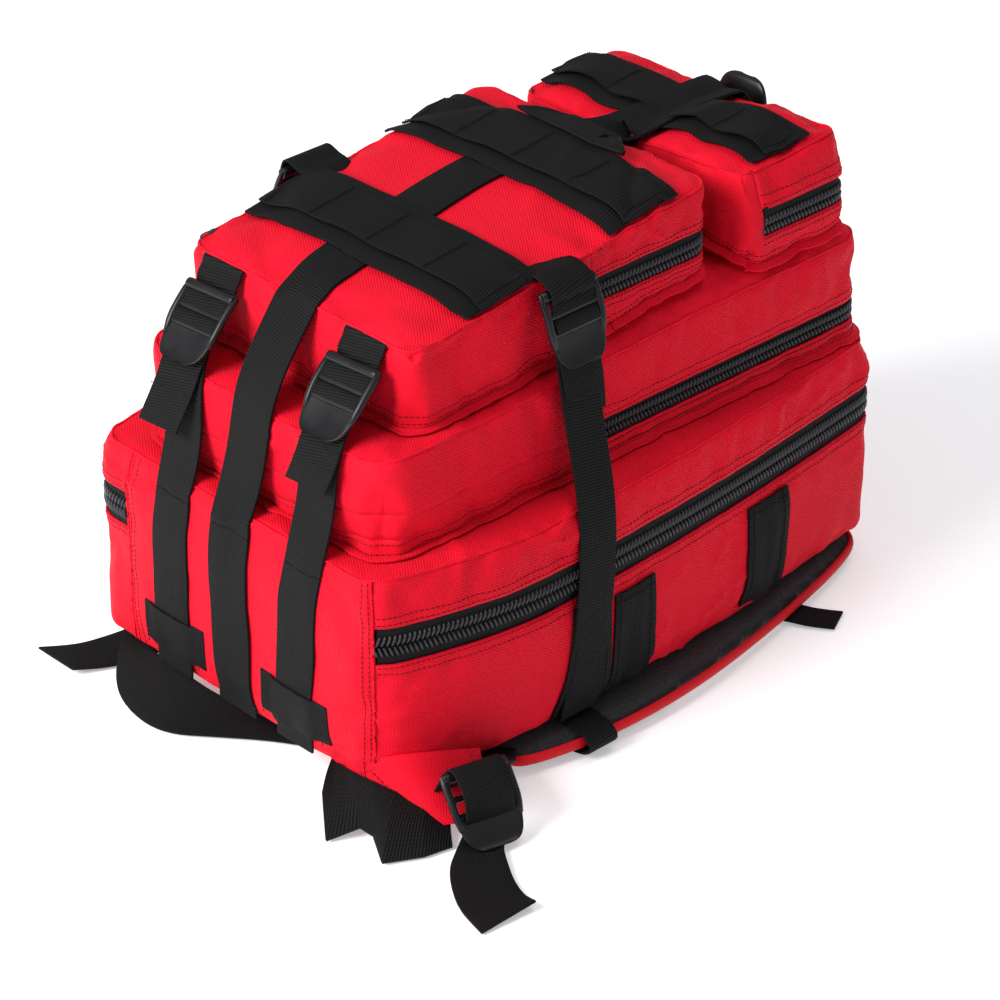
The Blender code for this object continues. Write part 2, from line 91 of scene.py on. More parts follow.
# ------------------------------------------------------------------ materials
class Finish:
    """A new material, with short ways of adding nodes to it."""

    def __init__(self, name):
        self.material = bpy.data.materials.new(name)
        self.material.use_nodes = True
        self.tree = self.material.node_tree
        self.shader = self.tree.nodes["Principled BSDF"]

    def plug(self, socket, value):
        """Give a socket a number, a colour or another node's output."""
        if isinstance(value, (int, float)):
            socket.default_value = value
        elif isinstance(value, tuple):
            socket.default_value = (*value, 1.0)
        else:
            self.tree.links.new(value, socket)

    def node(self, kind, **inputs):
        node = self.tree.nodes.new(f"ShaderNode{kind}")
        for name, value in inputs.items():
            self.plug(node.inputs[name], value)
        return node

    def math(self, operation, *values):
        node = self.node("Math")
        node.operation = operation
        for socket, value in zip(node.inputs, values):
            self.plug(socket, value)
        return node.outputs[0]

    def mix(self, factor, first, second):
        node = self.node("Mix")
        node.data_type = "RGBA"
        for number, value in ((0, factor), (6, first), (7, second)):
            self.plug(node.inputs[number], value)
        return node.outputs[2]

    def bump(self, height, strength, distance, **after):
        return self.node("Bump", Height=height, Strength=strength, Distance=distance, **after).outputs[0]

    def place(self):
        return self.node("TexCoord").outputs["Object"]

    def noise(self, scale, detail=2.0):
        return self.node("TexNoise", Vector=self.place(), Scale=scale, Detail=detail).outputs["Fac"]

    def attribute(self, name):
        node = self.node("Attribute")
        node.attribute_name = name
        return node.outputs["Fac"]

    def weave(self, pitch):
        """Height of a woven cloth's ribs, laid on whichever principal plane a face looks along."""
        place = self.node("SeparateXYZ", Vector=self.place())
        facing = self.node("SeparateXYZ", Vector=self.node("TexCoord").outputs["Normal"])
        turn = 2 * math.pi / pitch
        total = 0.0
        for u, v, n in ((1, 2, 0), (0, 2, 1), (0, 1, 2)):
            warp = self.math("MULTIPLY", place.outputs[u], turn * 0.72)
            across = self.math("MULTIPLY", place.outputs[v], turn)
            rib = self.math("SINE", self.math("ADD", warp, across))
            fine = self.math("SINE", self.math("SUBTRACT", warp, across))
            cloth = self.math("MULTIPLY", rib, self.math("ADD", fine, 0.75))
            weight = self.math("POWER", self.math("ABSOLUTE", facing.outputs[n]), 4.0)
            total = self.math("ADD", total, self.math("MULTIPLY", cloth, weight))
        return total

    def surface(self, **inputs):
        """Set the shader's inputs, named with underscores, and give the material back."""
        for name, value in inputs.items():
            self.plug(self.shader.inputs[name.replace("_", " ")], value)
        return self.material


def red_cloth():
    """Red polyester pack cloth: ribbed weave, a dry sheen, faint mottling and soft creases. The weave's crests are
    painted lighter and its grooves darker, as a painted highlight and painted shade on each rib.
    """
    cloth = Finish("red_pack_cloth")
    weave = cloth.weave(0.0021)
    shade = cloth.math("MULTIPLY_ADD", weave, 0.30, 0.5)
    # The weave's height picks between two reds: a painted highlight on the crests, painted shade in the grooves.
    red_with_painted_weave_light = cloth.mix(shade, (0.58, 0.0009, 0.0125), (1.00, 0.0050, 0.0290))
    mottle = cloth.math("MULTIPLY", cloth.noise(9.0, 3.0), 0.35)
    creases = cloth.bump(cloth.noise(42.0, 3.0), 0.35, 0.0022)
    return cloth.surface(Base_Color=cloth.mix(mottle, red_with_painted_weave_light, (0.50, 0.0008, 0.0120)), Roughness=0.62,
                         Specular_IOR_Level=0.12, Sheen_Weight=0.05, Sheen_Roughness=0.45,
                         Sheen_Tint=(1.0, 0.25, 0.28), Normal=cloth.bump(weave, 0.75, 0.00032, Normal=creases))


def webbing_cloth():
    """Black webbing: crosswise ribs that follow the strap, with a painted highlight on the rib tops and painted
    shade between them.
    """
    web = Finish("black_webbing")
    turn = 2 * math.pi / 0.0019
    run = web.math("MULTIPLY", web.attribute("along"), turn)
    side = web.math("MULTIPLY", web.attribute("across"), turn * 0.85)
    rib = web.math("SINE", web.math("ADD", run, web.math("MULTIPLY", side, 0.18)))
    thread = web.math("MULTIPLY", web.math("SINE", side), 0.3)
    height = web.math("MULTIPLY_ADD", rib, 0.7, thread)
    shade = web.math("MULTIPLY_ADD", height, 0.5, 0.5)
    # The ribs' height picks the colour: a painted highlight on their tops, painted shade between them.
    return web.surface(Base_Color=web.mix(shade, (0.00216, 0.00216, 0.00216), (0.0096, 0.0096, 0.01008)),
                       Roughness=0.66, Specular_IOR_Level=0.12, Normal=web.bump(height, 0.7, 0.00035))


def air_mesh():
    """Black spacer mesh: small round cells over foam."""
    mesh = Finish("black_air_mesh")
    cells = mesh.node("TexVoronoi", Vector=mesh.place(), Scale=420.0).outputs["Distance"]
    return mesh.surface(Base_Color=mesh.mix(cells, (0.004, 0.004, 0.005), (0.024, 0.024, 0.026)), Roughness=0.9,
                        Sheen_Weight=0.1, Normal=mesh.bump(cells, 0.6, 0.0006))


def lining_cloth():
    """Thin grey-black coated lining inside the compartments."""
    cloth = Finish("dark_lining")
    color = cloth.mix(cloth.noise(30.0, 3.0), (0.018, 0.018, 0.020), (0.035, 0.035, 0.038))
    return cloth.surface(Base_Color=color, Roughness=0.5, Normal=cloth.bump(cloth.weave(0.0012), 0.25, 0.00012))


def moulded_plastic():
    """Black acetal: satin, very fine moulded grain, a little duller in worn patches."""
    acetal = Finish("black_acetal")
    wear = acetal.noise(60.0, 4.0)
    return acetal.surface(Base_Color=acetal.mix(wear, (0.004, 0.004, 0.0045), (0.009, 0.009, 0.010)),
                          Roughness=acetal.math("MULTIPLY_ADD", wear, 0.25, 0.22), Specular_IOR_Level=0.30,
                          Normal=acetal.bump(acetal.noise(1800.0), 0.12, 0.0001))


def plain_finish(name, color, roughness, metallic=0.0, grain=900.0, depth=0.00008):
    """A small part's finish: one colour broken by fine grain."""
    finish = Finish(name)
    grainy = finish.noise(grain, 3.0)
    darker = tuple(channel * 0.6 for channel in color)
    return finish.surface(Base_Color=finish.mix(grainy, darker, color), Roughness=roughness, Metallic=metallic,
                          Specular_IOR_Level=0.22, Normal=finish.bump(grainy, 0.4, depth))


RED = red_cloth()
WEB = webbing_cloth()
MESH = air_mesh()
LINING = lining_cloth()
PLASTIC = moulded_plastic()
COIL = plain_finish("nylon_coil", (0.045, 0.045, 0.050), 0.22, grain=700.0)
TAPE = plain_finish("zip_tape_cloth", (0.005, 0.005, 0.0055), 0.80, grain=1500.0, depth=0.0002)
METAL = plain_finish("slider_lacquer", (0.030, 0.030, 0.032), 0.30, 0.7)
THREAD = plain_finish("dark_red_thread", (0.085, 0.002, 0.006), 0.6, grain=2500.0)
BLACK_THREAD = plain_finish("black_thread", (0.006, 0.006, 0.007), 0.6, grain=2500.0)
BINDING = plain_finish("red_binding_tape", (0.72, 0.0025, 0.0100), 0.6, grain=1400.0, depth=0.0002)
BOARD = plain_finish("grey_board", (0.10, 0.10, 0.11), 0.55, grain=400.0)


# ------------------------------------------------------------------ mesh helpers
def new_piece(name, mesh, body, slot, *materials):
    piece = bpy.data.objects.new(name, mesh)
    SCENE.collection.objects.link(piece)
    for material in materials:
        mesh.materials.append(material)
    if body:
        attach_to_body(piece, body)
    return piece


def attach(piece, nodes=(), across=None):
    """Let a piece stand for CAD nodes, and bake its transform into its points if it spans a joint."""
    if nodes:
        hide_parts(*nodes)
    if across:
        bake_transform(piece)
    return piece


def table(lattice):
    """Rows of points as one array."""
    return np.array([[tuple(p) for p in row] for row in lattice], float)


def mesh_from(name, points, faces):
    mesh = bpy.data.meshes.new(name)
    mesh.from_pydata([tuple(p) for p in points], [], faces)
    mesh.update()
    return mesh


def rounded_place(x, y, z, xs, ys, zs, corner, edge_low, edge_high):
    """Move a point of a box's surface so that its upright corners and its rims are round."""
    cx = min(max(x, xs[0] + corner), xs[-1] - corner)
    cy = min(max(y, ys[0] + corner), ys[-1] - corner)
    dx, dy = x - cx, y - cy
    reach, length = max(abs(dx), abs(dy)), math.hypot(dx, dy)
    if length < 1e-9:
        return x, y, z
    inset = corner - reach
    for radius, depth, way in ((edge_high, zs[-1] - z, -1), (edge_low, z - zs[0], 1)):
        if inset < radius and depth < radius:
            a, b = radius - inset, radius - depth
            shrink = max(a, b) / math.hypot(a, b)
            inset = radius - a * shrink
            depth = radius - b * shrink
            z = (zs[-1] if way < 0 else zs[0]) + way * depth
            break
    out = corner - inset
    return cx + dx / length * out, cy + dy / length * out, z


def wrinkle(point):
    """Soft dents and a few sharper creases, as the push along the cloth's normal at a place."""
    place = Vector(point)
    dent = noise.noise(place * 26) * 0.0016
    bent = Vector((place.x * 15 + place.z * 22, place.y * 17 - place.z * 12, place.z * 46 + 3.1))
    crease = (1 - abs(noise.noise(bent))) ** 9
    where = max(0.0, noise.noise(place * 9 + Vector((4.0, 1.0, 7.0))) + 0.12)
    zip_gap = min(abs(place.z - settings[0]) for settings in ZIPS.values())
    calm = min(1.0, max(0.0, (zip_gap - 0.010) / 0.012))
    return (dent + 0.0058 * crease * where - 0.0007) * calm


class SoftBox:
    """The skin of a soft box as points and quads, kept with the places its points had on the plain box."""

    def __init__(self, xs, ys, zs, corner, edge_low, edge_high, shape):
        self.flat, self.points, self.faces = [], [], []
        index = {}
        last = (len(xs) - 1, len(ys) - 1, len(zs) - 1)

        def vertex(i, j, k):
            if (i, j, k) not in index:
                index[i, j, k] = len(self.points)
                self.flat.append((xs[i], ys[j], zs[k]))
                place = rounded_place(xs[i], ys[j], zs[k], xs, ys, zs, corner, edge_low, edge_high)
                self.points.append(shape(*place))
            return index[i, j, k]

        for axis in range(3):
            u, v = [a for a in range(3) if a != axis]
            for end in (0, last[axis]):
                for p in range(last[u]):
                    for q in range(last[v]):
                        corners = []
                        for dp, dq in ((0, 0), (1, 0), (1, 1), (0, 1)):
                            place = [0, 0, 0]
                            place[axis], place[u], place[v] = end, p + dp, q + dq
                            corners.append(vertex(*place))
                        outward = (end > 0) == (axis != 1)
                        self.faces.append(corners if outward else corners[::-1])
        self.flat = np.array(self.flat)
        self.points = np.array(self.points)
        self.rest = self.points.copy()

    def inflate(self, pinned, pressure, grow, frames=16, cap=0.010, bending=0.6):
        """Blow the skin out as cloth between its pinned seams."""
        mesh = mesh_from("skin", self.points, self.faces)
        skin = bpy.data.objects.new("skin", mesh)
        SCENE.collection.objects.link(skin)
        group = skin.vertex_groups.new(name="Pinned")
        for k, flat in enumerate(self.flat):
            weight = pinned(*flat)
            if weight > 0:
                group.add([k], weight, "REPLACE")
        cloth = skin.modifiers.new("Cloth", "CLOTH")
        settings = cloth.settings
        settings.quality = 6
        settings.mass = 0.25
        settings.tension_stiffness = 12
        settings.compression_stiffness = 12
        settings.shear_stiffness = 6
        settings.bending_stiffness = bending
        settings.use_pressure = True
        settings.uniform_pressure_force = pressure
        settings.shrink_min = -grow
        settings.vertex_group_mass = "Pinned"
        settings.effector_weights.gravity = 0
        cloth.collision_settings.use_collision = False
        cloth.point_cache.frame_start = 1
        cloth.point_cache.frame_end = frames
        for number in range(1, frames + 1):
            SCENE.frame_set(number)
        swollen = skin.evaluated_get(bpy.context.evaluated_depsgraph_get()).data
        moved = np.array([v.co for v in swollen.vertices])
        SCENE.frame_set(1)
        bpy.data.objects.remove(skin)
        shift = moved - self.rest
        length = np.maximum(np.linalg.norm(shift, axis=1, keepdims=True), 1e-9)
        self.points = self.rest + shift / length * (cap * np.tanh(length / cap))

    def finish(self):
        """Subdivide the closed skin once and get it ready for drawing lines on."""
        mesh = mesh_from("skin", self.points, self.faces)
        place = mesh.attributes.new("flat", "FLOAT_VECTOR", "POINT")
        place.data.foreach_set("vector", self.flat.astype(np.float32).ravel())
        skin = bpy.data.objects.new("skin", mesh)
        SCENE.collection.objects.link(skin)
        skin.modifiers.new("Soft", "SUBSURF").levels = 1
        fine = skin.evaluated_get(bpy.context.evaluated_depsgraph_get()).data
        self.points = np.array([v.co for v in fine.vertices])
        self.normals = np.array([v.normal for v in fine.vertices])
        flat = np.zeros(len(self.points) * 3, np.float32)
        fine.attributes["flat"].data.foreach_get("vector", flat)
        self.flat = flat.reshape(-1, 3).astype(float)
        self.faces = [list(f.vertices) for f in fine.polygons]
        bpy.data.objects.remove(skin)
        push = np.array([wrinkle(point) for point in self.points])
        self.points = self.points + self.normals * push[:, None]
        self.tree = BVHTree.FromPolygons([Vector(p) for p in self.points], self.faces)
        self.flat_tree = BVHTree.FromPolygons([Vector(p) for p in self.flat], self.faces)

    def on(self, x, y, z, lift=0.0):
        """Where a point of the plain box ended up on the finished skin, and the outward normal there."""
        hit, _, face, _ = self.flat_tree.find_nearest(Vector((x, y, z)))
        a, b, c, d = self.faces[face]
        origin, run, rise = self.flat[a], self.flat[b] - self.flat[a], self.flat[d] - self.flat[a]
        u = np.dot(hit - Vector(origin), run) / max(np.dot(run, run), 1e-12)
        v = np.dot(hit - Vector(origin), rise) / max(np.dot(rise, rise), 1e-12)
        shares = np.array(((1 - u) * (1 - v), u * (1 - v), u * v, (1 - u) * v))
        place = Vector(shares @ self.points[[a, b, c, d]])
        normal = Vector(shares @ self.normals[[a, b, c, d]]).normalized()
        return place + normal * lift, normal

    def part(self, name, keep, body, nodes=(), across=None):
        """The faces whose centre on the plain box passes `keep`, as a piece of lined cloth."""
        chosen = [f for f in self.faces if keep(*self.flat[f].mean(axis=0))]
        used = sorted({v for f in chosen for v in f})
        number = {v: k for k, v in enumerate(used)}
        mesh = mesh_from(name, self.points[used], [[number[v] for v in f] for f in chosen])
        mesh.shade_smooth()
        piece = new_piece(name, mesh, body, "red_cloth", RED, LINING)
        solid = piece.modifiers.new("Cloth", "SOLIDIFY")
        solid.thickness = CLOTH_THICKNESS
        solid.offset = -1
        solid.use_rim = True
        solid.material_offset = 1
        solid.material_offset_rim = 0
        return attach(piece, nodes, across)


def reach_along(points):
    """How far along a run of points each of them lies."""
    return np.concatenate(([0.0], np.cumsum(np.linalg.norm(np.diff(points, axis=0), axis=1))))


def resample(points, step):
    """The same run of points, evenly spaced at about `step`."""
    points = np.array([tuple(p) for p in points], float)
    reach = reach_along(points)
    count = max(2, round(reach[-1] / step) + 1)
    wanted = np.linspace(0, reach[-1], count)
    return np.column_stack([np.interp(wanted, reach, points[:, k]) for k in range(points.shape[1])])


def rounded(points, rounds=4):
    """Corner cutting, with both ends kept."""
    points = np.array([tuple(p) for p in points], float)
    for _ in range(rounds):
        near, far = points[:-1] * 0.75 + points[1:] * 0.25, points[:-1] * 0.25 + points[1:] * 0.75
        middle = np.stack((near, far), axis=1).reshape(-1, points.shape[1])
        points = np.concatenate((points[:1], middle[1:-1], points[-1:]))
    return points


class Shapes:
    """Gathers many small shapes into one mesh."""

    def __init__(self):
        self.points, self.faces, self.count = [], [], 0

    def add(self, points, faces):
        self.faces += [[self.count + v for v in f] for f in faces]
        self.points += [tuple(p) for p in points]
        self.count += len(points)

    def tube(self, path, radius, sides=8, flat=1.0, up=(0, 0, 1), closed=False):
        """A round bar along a path. `radius` is one number, or one for each point, and `flat` squeezes it."""
        path = [Vector(p) for p in path]
        count = len(path)
        radii = radius if hasattr(radius, "__len__") else [radius] * count
        rings = []
        for k, place in enumerate(path):
            before = path[k - 1] if closed or k else path[0]
            after = path[(k + 1) % count] if closed or k < count - 1 else path[-1]
            along = (after - before).normalized()
            side = along.cross(Vector(up))
            side = side.normalized() if side.length > 1e-6 else along.orthogonal().normalized()
            rise = side.cross(along).normalized()
            turn = [2 * math.pi * s / sides for s in range(sides)]
            wide, high = side * radii[k], rise * radii[k] * flat
            rings.append([place + wide * math.cos(t) + high * math.sin(t) for t in turn])
        points = [p for ring in rings for p in ring]
        faces = []
        for k in range(count if closed else count - 1):
            a, b = k * sides, (k + 1) % count * sides
            faces += [[a + s, a + (s + 1) % sides, b + (s + 1) % sides, b + s] for s in range(sides)]
        if not closed:
            faces += [list(range(sides))[::-1], [len(points) - sides + s for s in range(sides)]]
        self.add(points, faces)

    def piece(self, name, body, slot, material, smooth=True):
        mesh = mesh_from(name, self.points, self.faces)
        if smooth:
            mesh.shade_smooth()
        return new_piece(name, mesh, body, slot, material)


def capped(path, radius, end=0.5):
    """Radii that shrink at both ends of a path, for a bar with rounded ends."""
    return [radius * (end if k in (0, len(path) - 1) else 1.0) for k in range(len(path))]


TOOTH_RINGS = ((-1.0, 0.30), (-0.72, 0.80), (0.0, 1.0), (0.72, 0.80), (1.0, 0.30))
TOOTH_SIDES = 6


def tooth(shapes, place, along, out, up, length, width, height):
    """One turn of a zip's coil: a short bead lying across the tape."""
    points = []
    for reach, girth in TOOTH_RINGS:
        for side in range(TOOTH_SIDES):
            turn = 2 * math.pi * side / TOOTH_SIDES
            offset = along * math.cos(turn) * width * girth + out * math.sin(turn) * height * girth
            points.append(place + up * reach * length + offset)
    faces = [list(range(TOOTH_SIDES))[::-1], [len(points) - TOOTH_SIDES + s for s in range(TOOTH_SIDES)]]
    for ring in range(len(TOOTH_RINGS) - 1):
        for side in range(TOOTH_SIDES):
            a, b = ring * TOOTH_SIDES + side, ring * TOOTH_SIDES + (side + 1) % TOOTH_SIDES
            faces.append([a, b, b + TOOTH_SIDES, a + TOOTH_SIDES])
    shapes.add(points, faces)


def stitches(name, runs, body, material=THREAD, length=STITCH, gap=STITCH_GAP, radius=0.00027, across=None):
    """Rows of thread. Each run is a list of points just above the cloth."""
    shapes = Shapes()
    for run in runs:
        points = resample(run, (length + gap) / 4)
        for k in range(0, len(points) - 3, 4):
            shapes.tube(points[k:k + 4], capped(points[k:k + 4], radius, 0.6), 5)
    attach(shapes.piece(name, body, "red_cloth", material), across=across)


def seam(name, run, body, radius, material=RED, closed=False, flat=1.0, across=None):
    """A seam's folded lip, drawn as a thin cord half sunk into the cloth."""
    shapes = Shapes()
    points = resample(run, 0.003)
    if closed:
        points = points[:-1]
    shapes.tube(points, radius, 6, flat, closed=closed)
    attach(shapes.piece(name, body, "red_cloth", material), across=across)


def sheet(name, lattice, body, thickness=0.0018, material=WEB, slot="black_webbing", offset=1.0, flip=False):
    """A lattice of rows of points as a flat piece of webbing or cloth with rounded edges."""
    lattice = table(lattice)
    rows, columns = lattice.shape[:2]
    points = lattice.reshape(-1, 3)
    faces = []
    for r in range(rows - 1):
        for c in range(columns - 1):
            a = r * columns + c
            corners = [a, a + 1, a + columns + 1, a + columns]
            faces.append(corners[::-1] if flip else corners)
    mesh = mesh_from(name, points, faces)
    values = {"along": np.repeat(reach_along(lattice[:, columns // 2]), columns),
              "across": np.tile(reach_along(lattice[rows // 2]), rows)}
    for label, value in values.items():
        mesh.attributes.new(label, "FLOAT", "POINT").data.foreach_set("value", value.astype(np.float32))
    mesh.shade_smooth()
    piece = new_piece(name, mesh, body, slot, material)
    solid = piece.modifiers.new("Thickness", "SOLIDIFY")
    solid.thickness = thickness
    solid.offset = offset
    bevel = piece.modifiers.new("Edges", "BEVEL")
    bevel.width = thickness * 0.3
    bevel.segments = 2
    bevel.limit_method = "ANGLE"
    bevel.angle_limit = math.radians(50)
    return piece


def ribbon_lattice(path, width, across, columns=5, step=0.004):
    """Rows of points across a strap's path. `across` is its width direction: one, or one for each point."""
    path = np.array([tuple(p) for p in path], float)
    if np.ndim(across) == 2:
        both = resample(np.column_stack((path, np.array(across, float))), step)
        points, sides = both[:, :3], both[:, 3:]
    else:
        points = resample(path, step)
        sides = np.tile(np.array(across, float), (len(points), 1))
    sides = sides / np.linalg.norm(sides, axis=1, keepdims=True)
    shares = np.linspace(-0.5, 0.5, columns)
    return points[:, None, :] + sides[:, None, :] * shares[None, :, None] * width


def drape(lattice, skins, lift, rounds, held):
    """Pull a lattice taut between the rows held at its two ends, and keep it outside the skins."""
    lattice = lattice.copy()
    first, last = held[0], len(lattice) - held[1]
    widths = np.linalg.norm(np.diff(lattice, axis=1), axis=2, keepdims=True)
    for _ in range(rounds):
        middle = (lattice[:-2] + lattice[2:]) / 2
        lattice[first:last] += 0.5 * (middle[first - 1:last - 1] - lattice[first:last])
        spans = np.diff(lattice, axis=1)
        stretch = spans * (1 - widths / np.maximum(np.linalg.norm(spans, axis=2, keepdims=True), 1e-9)) * 0.5
        shift = np.zeros_like(lattice)
        shift[:, :-1] += stretch * 0.5
        shift[:, 1:] -= stretch * 0.5
        lattice[first:last] += shift[first:last]
        for row in lattice[first:last]:
            for column, point in enumerate(row):
                place = Vector(point)
                for skin in skins:
                    hit, normal, _, _ = skin.tree.find_nearest(place, 0.03)
                    if hit is not None and (place - hit).dot(normal) < lift:
                        place = hit + normal * lift
                row[column] = place
    return lattice


# ------------------------------------------------------------------ the stuffed compartments
# Where each zip's teeth meet, how far below and above that its cloth hems stop, and its coil's half height
ZIPS = {"main": (MAIN_ZIP - 0.005, 0.0125, 0.0130, 0.0074),
        "second": (SECOND_ZIP - 0.003, 0.0070, 0.0085, 0.0055),
        "lower": (POCKET_ZIP - 0.003, 0.0075, 0.0105, 0.0058),
        "upper": (POCKET_ZIP - 0.003, 0.0075, 0.0105, 0.0058)}
RIM = 0.0070           # rounding of the compartments' rims
CLOTH_STEP = 0.0062


def grid(start, end, *inner, rim=RIM):
    """Grid lines between a box's two sides, closer together at its rims."""
    stops = [start + rim, *inner, end - rim]
    found = [start, start + 0.4 * rim]
    for a, b in zip(stops, stops[1:]):
        count = max(1, round((b - a) / CLOTH_STEP))
        found += [a + (b - a) * k / count for k in range(count)]
    return found + [end - rim, end - 0.4 * rim, end]


def zip_lines(name):
    """Heights of a zip's lower hem, its teeth and its upper hem."""
    plane, below, above, _ = ZIPS[name]
    return plane - below, plane, plane + above


def in_zip(name, z):
    low_hem, _, high_hem = zip_lines(name)
    return low_hem - 0.0002 < z < high_hem + 0.0002


def near(value, target, reach=0.0004):
    return abs(value - target) < reach


def half_width(y, side=1):
    reach = 0.330 if y > BULGE_PEAK_Y else (0.135 if side > 0 else 0.210)
    bulge = MAIN_HIGH.x - BODY_END
    return BODY_END + bulge * math.cos(math.pi / 2 * min(1.0, abs(y - BULGE_PEAK_Y) / reach))


SECOND_X = SECOND_HIGH.x
SECOND_Y = (low("second_cover_shell").y, high("second_cover_shell").y)
SECOND_ZIP_START = -0.030


def on_footprint(x, y):
    return abs(x) < SECOND_X + 0.004 and SECOND_Y[0] - 0.004 < y < SECOND_Y[1] + 0.004


def main_shape(x, y, z):
    wide = half_width(y, 1 if x > 0 else -1) / BODY_END
    share = max(0.0, (z - MAIN_ZIP) / (MAIN_HIGH.z - MAIN_ZIP))
    return x * wide * (1 - 0.035 * share * share), y * (1 - 0.012 * share * share), z


def main_box():
    xs = grid(-BODY_END, BODY_END, LEFT_SEAM)
    ys = grid(-MAIN_HIGH.y, MAIN_HIGH.y)
    zs = grid(MAIN_LOW.z, MAIN_HIGH.z, *zip_lines("main"))
    skin = SoftBox(xs, ys, zs, 0.017, 0.008, RIM, main_shape)

    def pinned(x, y, z):
        on_end = near(y, ys[0]) and x > LEFT_SEAM - 0.0004
        if near(z, zs[0]) or (near(z, zs[-1]) and on_footprint(x, y)):
            return 1.0
        if not on_end and in_zip("main", z):
            return 1.0
        if near(y, ys[0]) and (near(x, xs[-1]) or near(x, LEFT_SEAM)):
            return 0.9
        rim = near(z, zs[-1]) and (near(abs(x), xs[-1]) or near(abs(y), ys[-1]))
        return 0.6 if rim else 0.0

    skin.inflate(pinned, 5.0, 0.035, cap=0.0050)
    skin.finish()
    return skin


def face_rise(x, y):
    """How much fuller the second compartment is under its pockets, most of all towards the top."""
    share = min(1.0, max(0.0, (y + 0.130) / 0.230))
    edge = min(1.0, max(0.0, (SECOND_X - abs(x)) / 0.020)) * min(1.0, max(0.0, (SECOND_HIGH.y - y) / 0.018))
    return (0.006 + 0.010 * edge) * share * share * (3 - 2 * share)


def second_shape(x, y, z):
    low_share = max(0.0, (SECOND_ZIP - z) / (SECOND_ZIP - SECOND_LOW.z))
    high_share = max(0.0, (z - SECOND_ZIP) / (SECOND_HIGH.z - SECOND_ZIP))
    towards_end = max(0.0, -y / SECOND_HIGH.y) ** 3
    sag = 0.007 * max(0.0, 1 - (x / SECOND_X) ** 2) * towards_end
    return x, y, z - 0.006 * low_share * towards_end + high_share * (face_rise(x, y) - sag)


def second_box():
    xs = grid(-SECOND_X, SECOND_X)
    ys = grid(SECOND_Y[0], SECOND_Y[1], SECOND_ZIP_START)
    zs = grid(SECOND_LOW.z - 0.004, SECOND_HIGH.z, *zip_lines("second"), rim=0.006)
    skin = SoftBox(xs, ys, zs, 0.022, 0.001, 0.006, second_shape)

    def pinned(x, y, z):
        if z < zs[0] + 0.005:
            return 1.0
        if y > SECOND_ZIP_START - 0.001 and in_zip("second", z):
            return 1.0
        rim = near(z, zs[-1]) and (near(abs(x), xs[-1]) or near(y, ys[0]) or near(y, ys[-1]))
        under_pocket = near(z, zs[-1]) and (LOWER_LOW.y < y < LOWER_HIGH.y or UPPER_LOW.y < y < UPPER_HIGH.y)
        if under_pocket and abs(x) < 0.098:
            return 1.0
        return 0.7 if rim else 0.0

    skin.inflate(pinned, 4.0, 0.040, cap=0.0065)
    skin.finish()
    return skin


def face_line(low_box, high_box, near_height, far_height):
    """Height of a pocket's face along the pack."""
    def height(y):
        share = (y - low_box.y) / (high_box.y - low_box.y)
        return near_height + (far_height - near_height) * min(1.0, max(0.0, share))
    return height


LOWER_FACE = face_line(LOWER_LOW, LOWER_HIGH, 0.286, LOWER_HIGH.z)
UPPER_FACE = face_line(UPPER_LOW, UPPER_HIGH, 0.304, UPPER_HIGH.z)


def pocket_box(name, low_corner, high_corner, face, fold, corner, cap):
    xs = grid(low_corner.x, high_corner.x, rim=0.006)
    ys = grid(low_corner.y, high_corner.y, fold, rim=0.006)
    base, top = SECOND_HIGH.z - 0.003, high_corner.z
    zs = grid(base, top, *zip_lines(name), rim=0.006)
    low_hem = zip_lines(name)[0]
    middle = (low_corner.x + high_corner.x) / 2

    def shape(x, y, z):
        level = zip_lines(name)[2] if y > fold else POCKET_ZIP
        if z <= level:
            foot = min(1.0, max(0.0, (low_hem - z) / (low_hem - base)))
            drawn = 1 - 0.085 * foot * foot * min(1.0, max(0.0, (y + 0.170) / 0.200))
            return middle + (x - middle) * drawn, y, z + foot * face_rise(x, y)
        if name == "upper":
            height = (z - level) / (top - level)
            share = max(0.0, (x - low_corner.x) / (high_corner.x - low_corner.x) * 2 - 1) * height
            x, z = x - 0.010 * share, z + 0.008 * share
        return x, y, level + (z - level) / (top - level) * (face(y) - level)

    skin = SoftBox(xs, ys, zs, corner, 0.001, 0.006, shape)

    def pinned(x, y, z):
        if z < base + 0.003:
            return 1.0
        if y > fold - 0.001 and in_zip(name, z):
            return 1.0
        rim = near(z, zs[-1]) and (near(x, xs[0]) or near(x, xs[-1]) or near(y, ys[0]) or near(y, ys[-1]))
        return 0.8 if rim else 0.0

    skin.inflate(pinned, 5.0, 0.050, cap=cap)
    skin.finish()
    return skin


MAIN = main_box()
SECOND = second_box()
LOWER = pocket_box("lower", LOWER_LOW, LOWER_HIGH, LOWER_FACE, LOWER_FOLD, 0.014, 0.009)
UPPER = pocket_box("upper", UPPER_LOW, UPPER_HIGH, UPPER_FACE, UPPER_FOLD, 0.012, 0.006)
END_Y = -MAIN_HIGH.y


def on_bottom_panel(x, y):
    return near(y, END_Y, 0.0012) and x > LEFT_SEAM


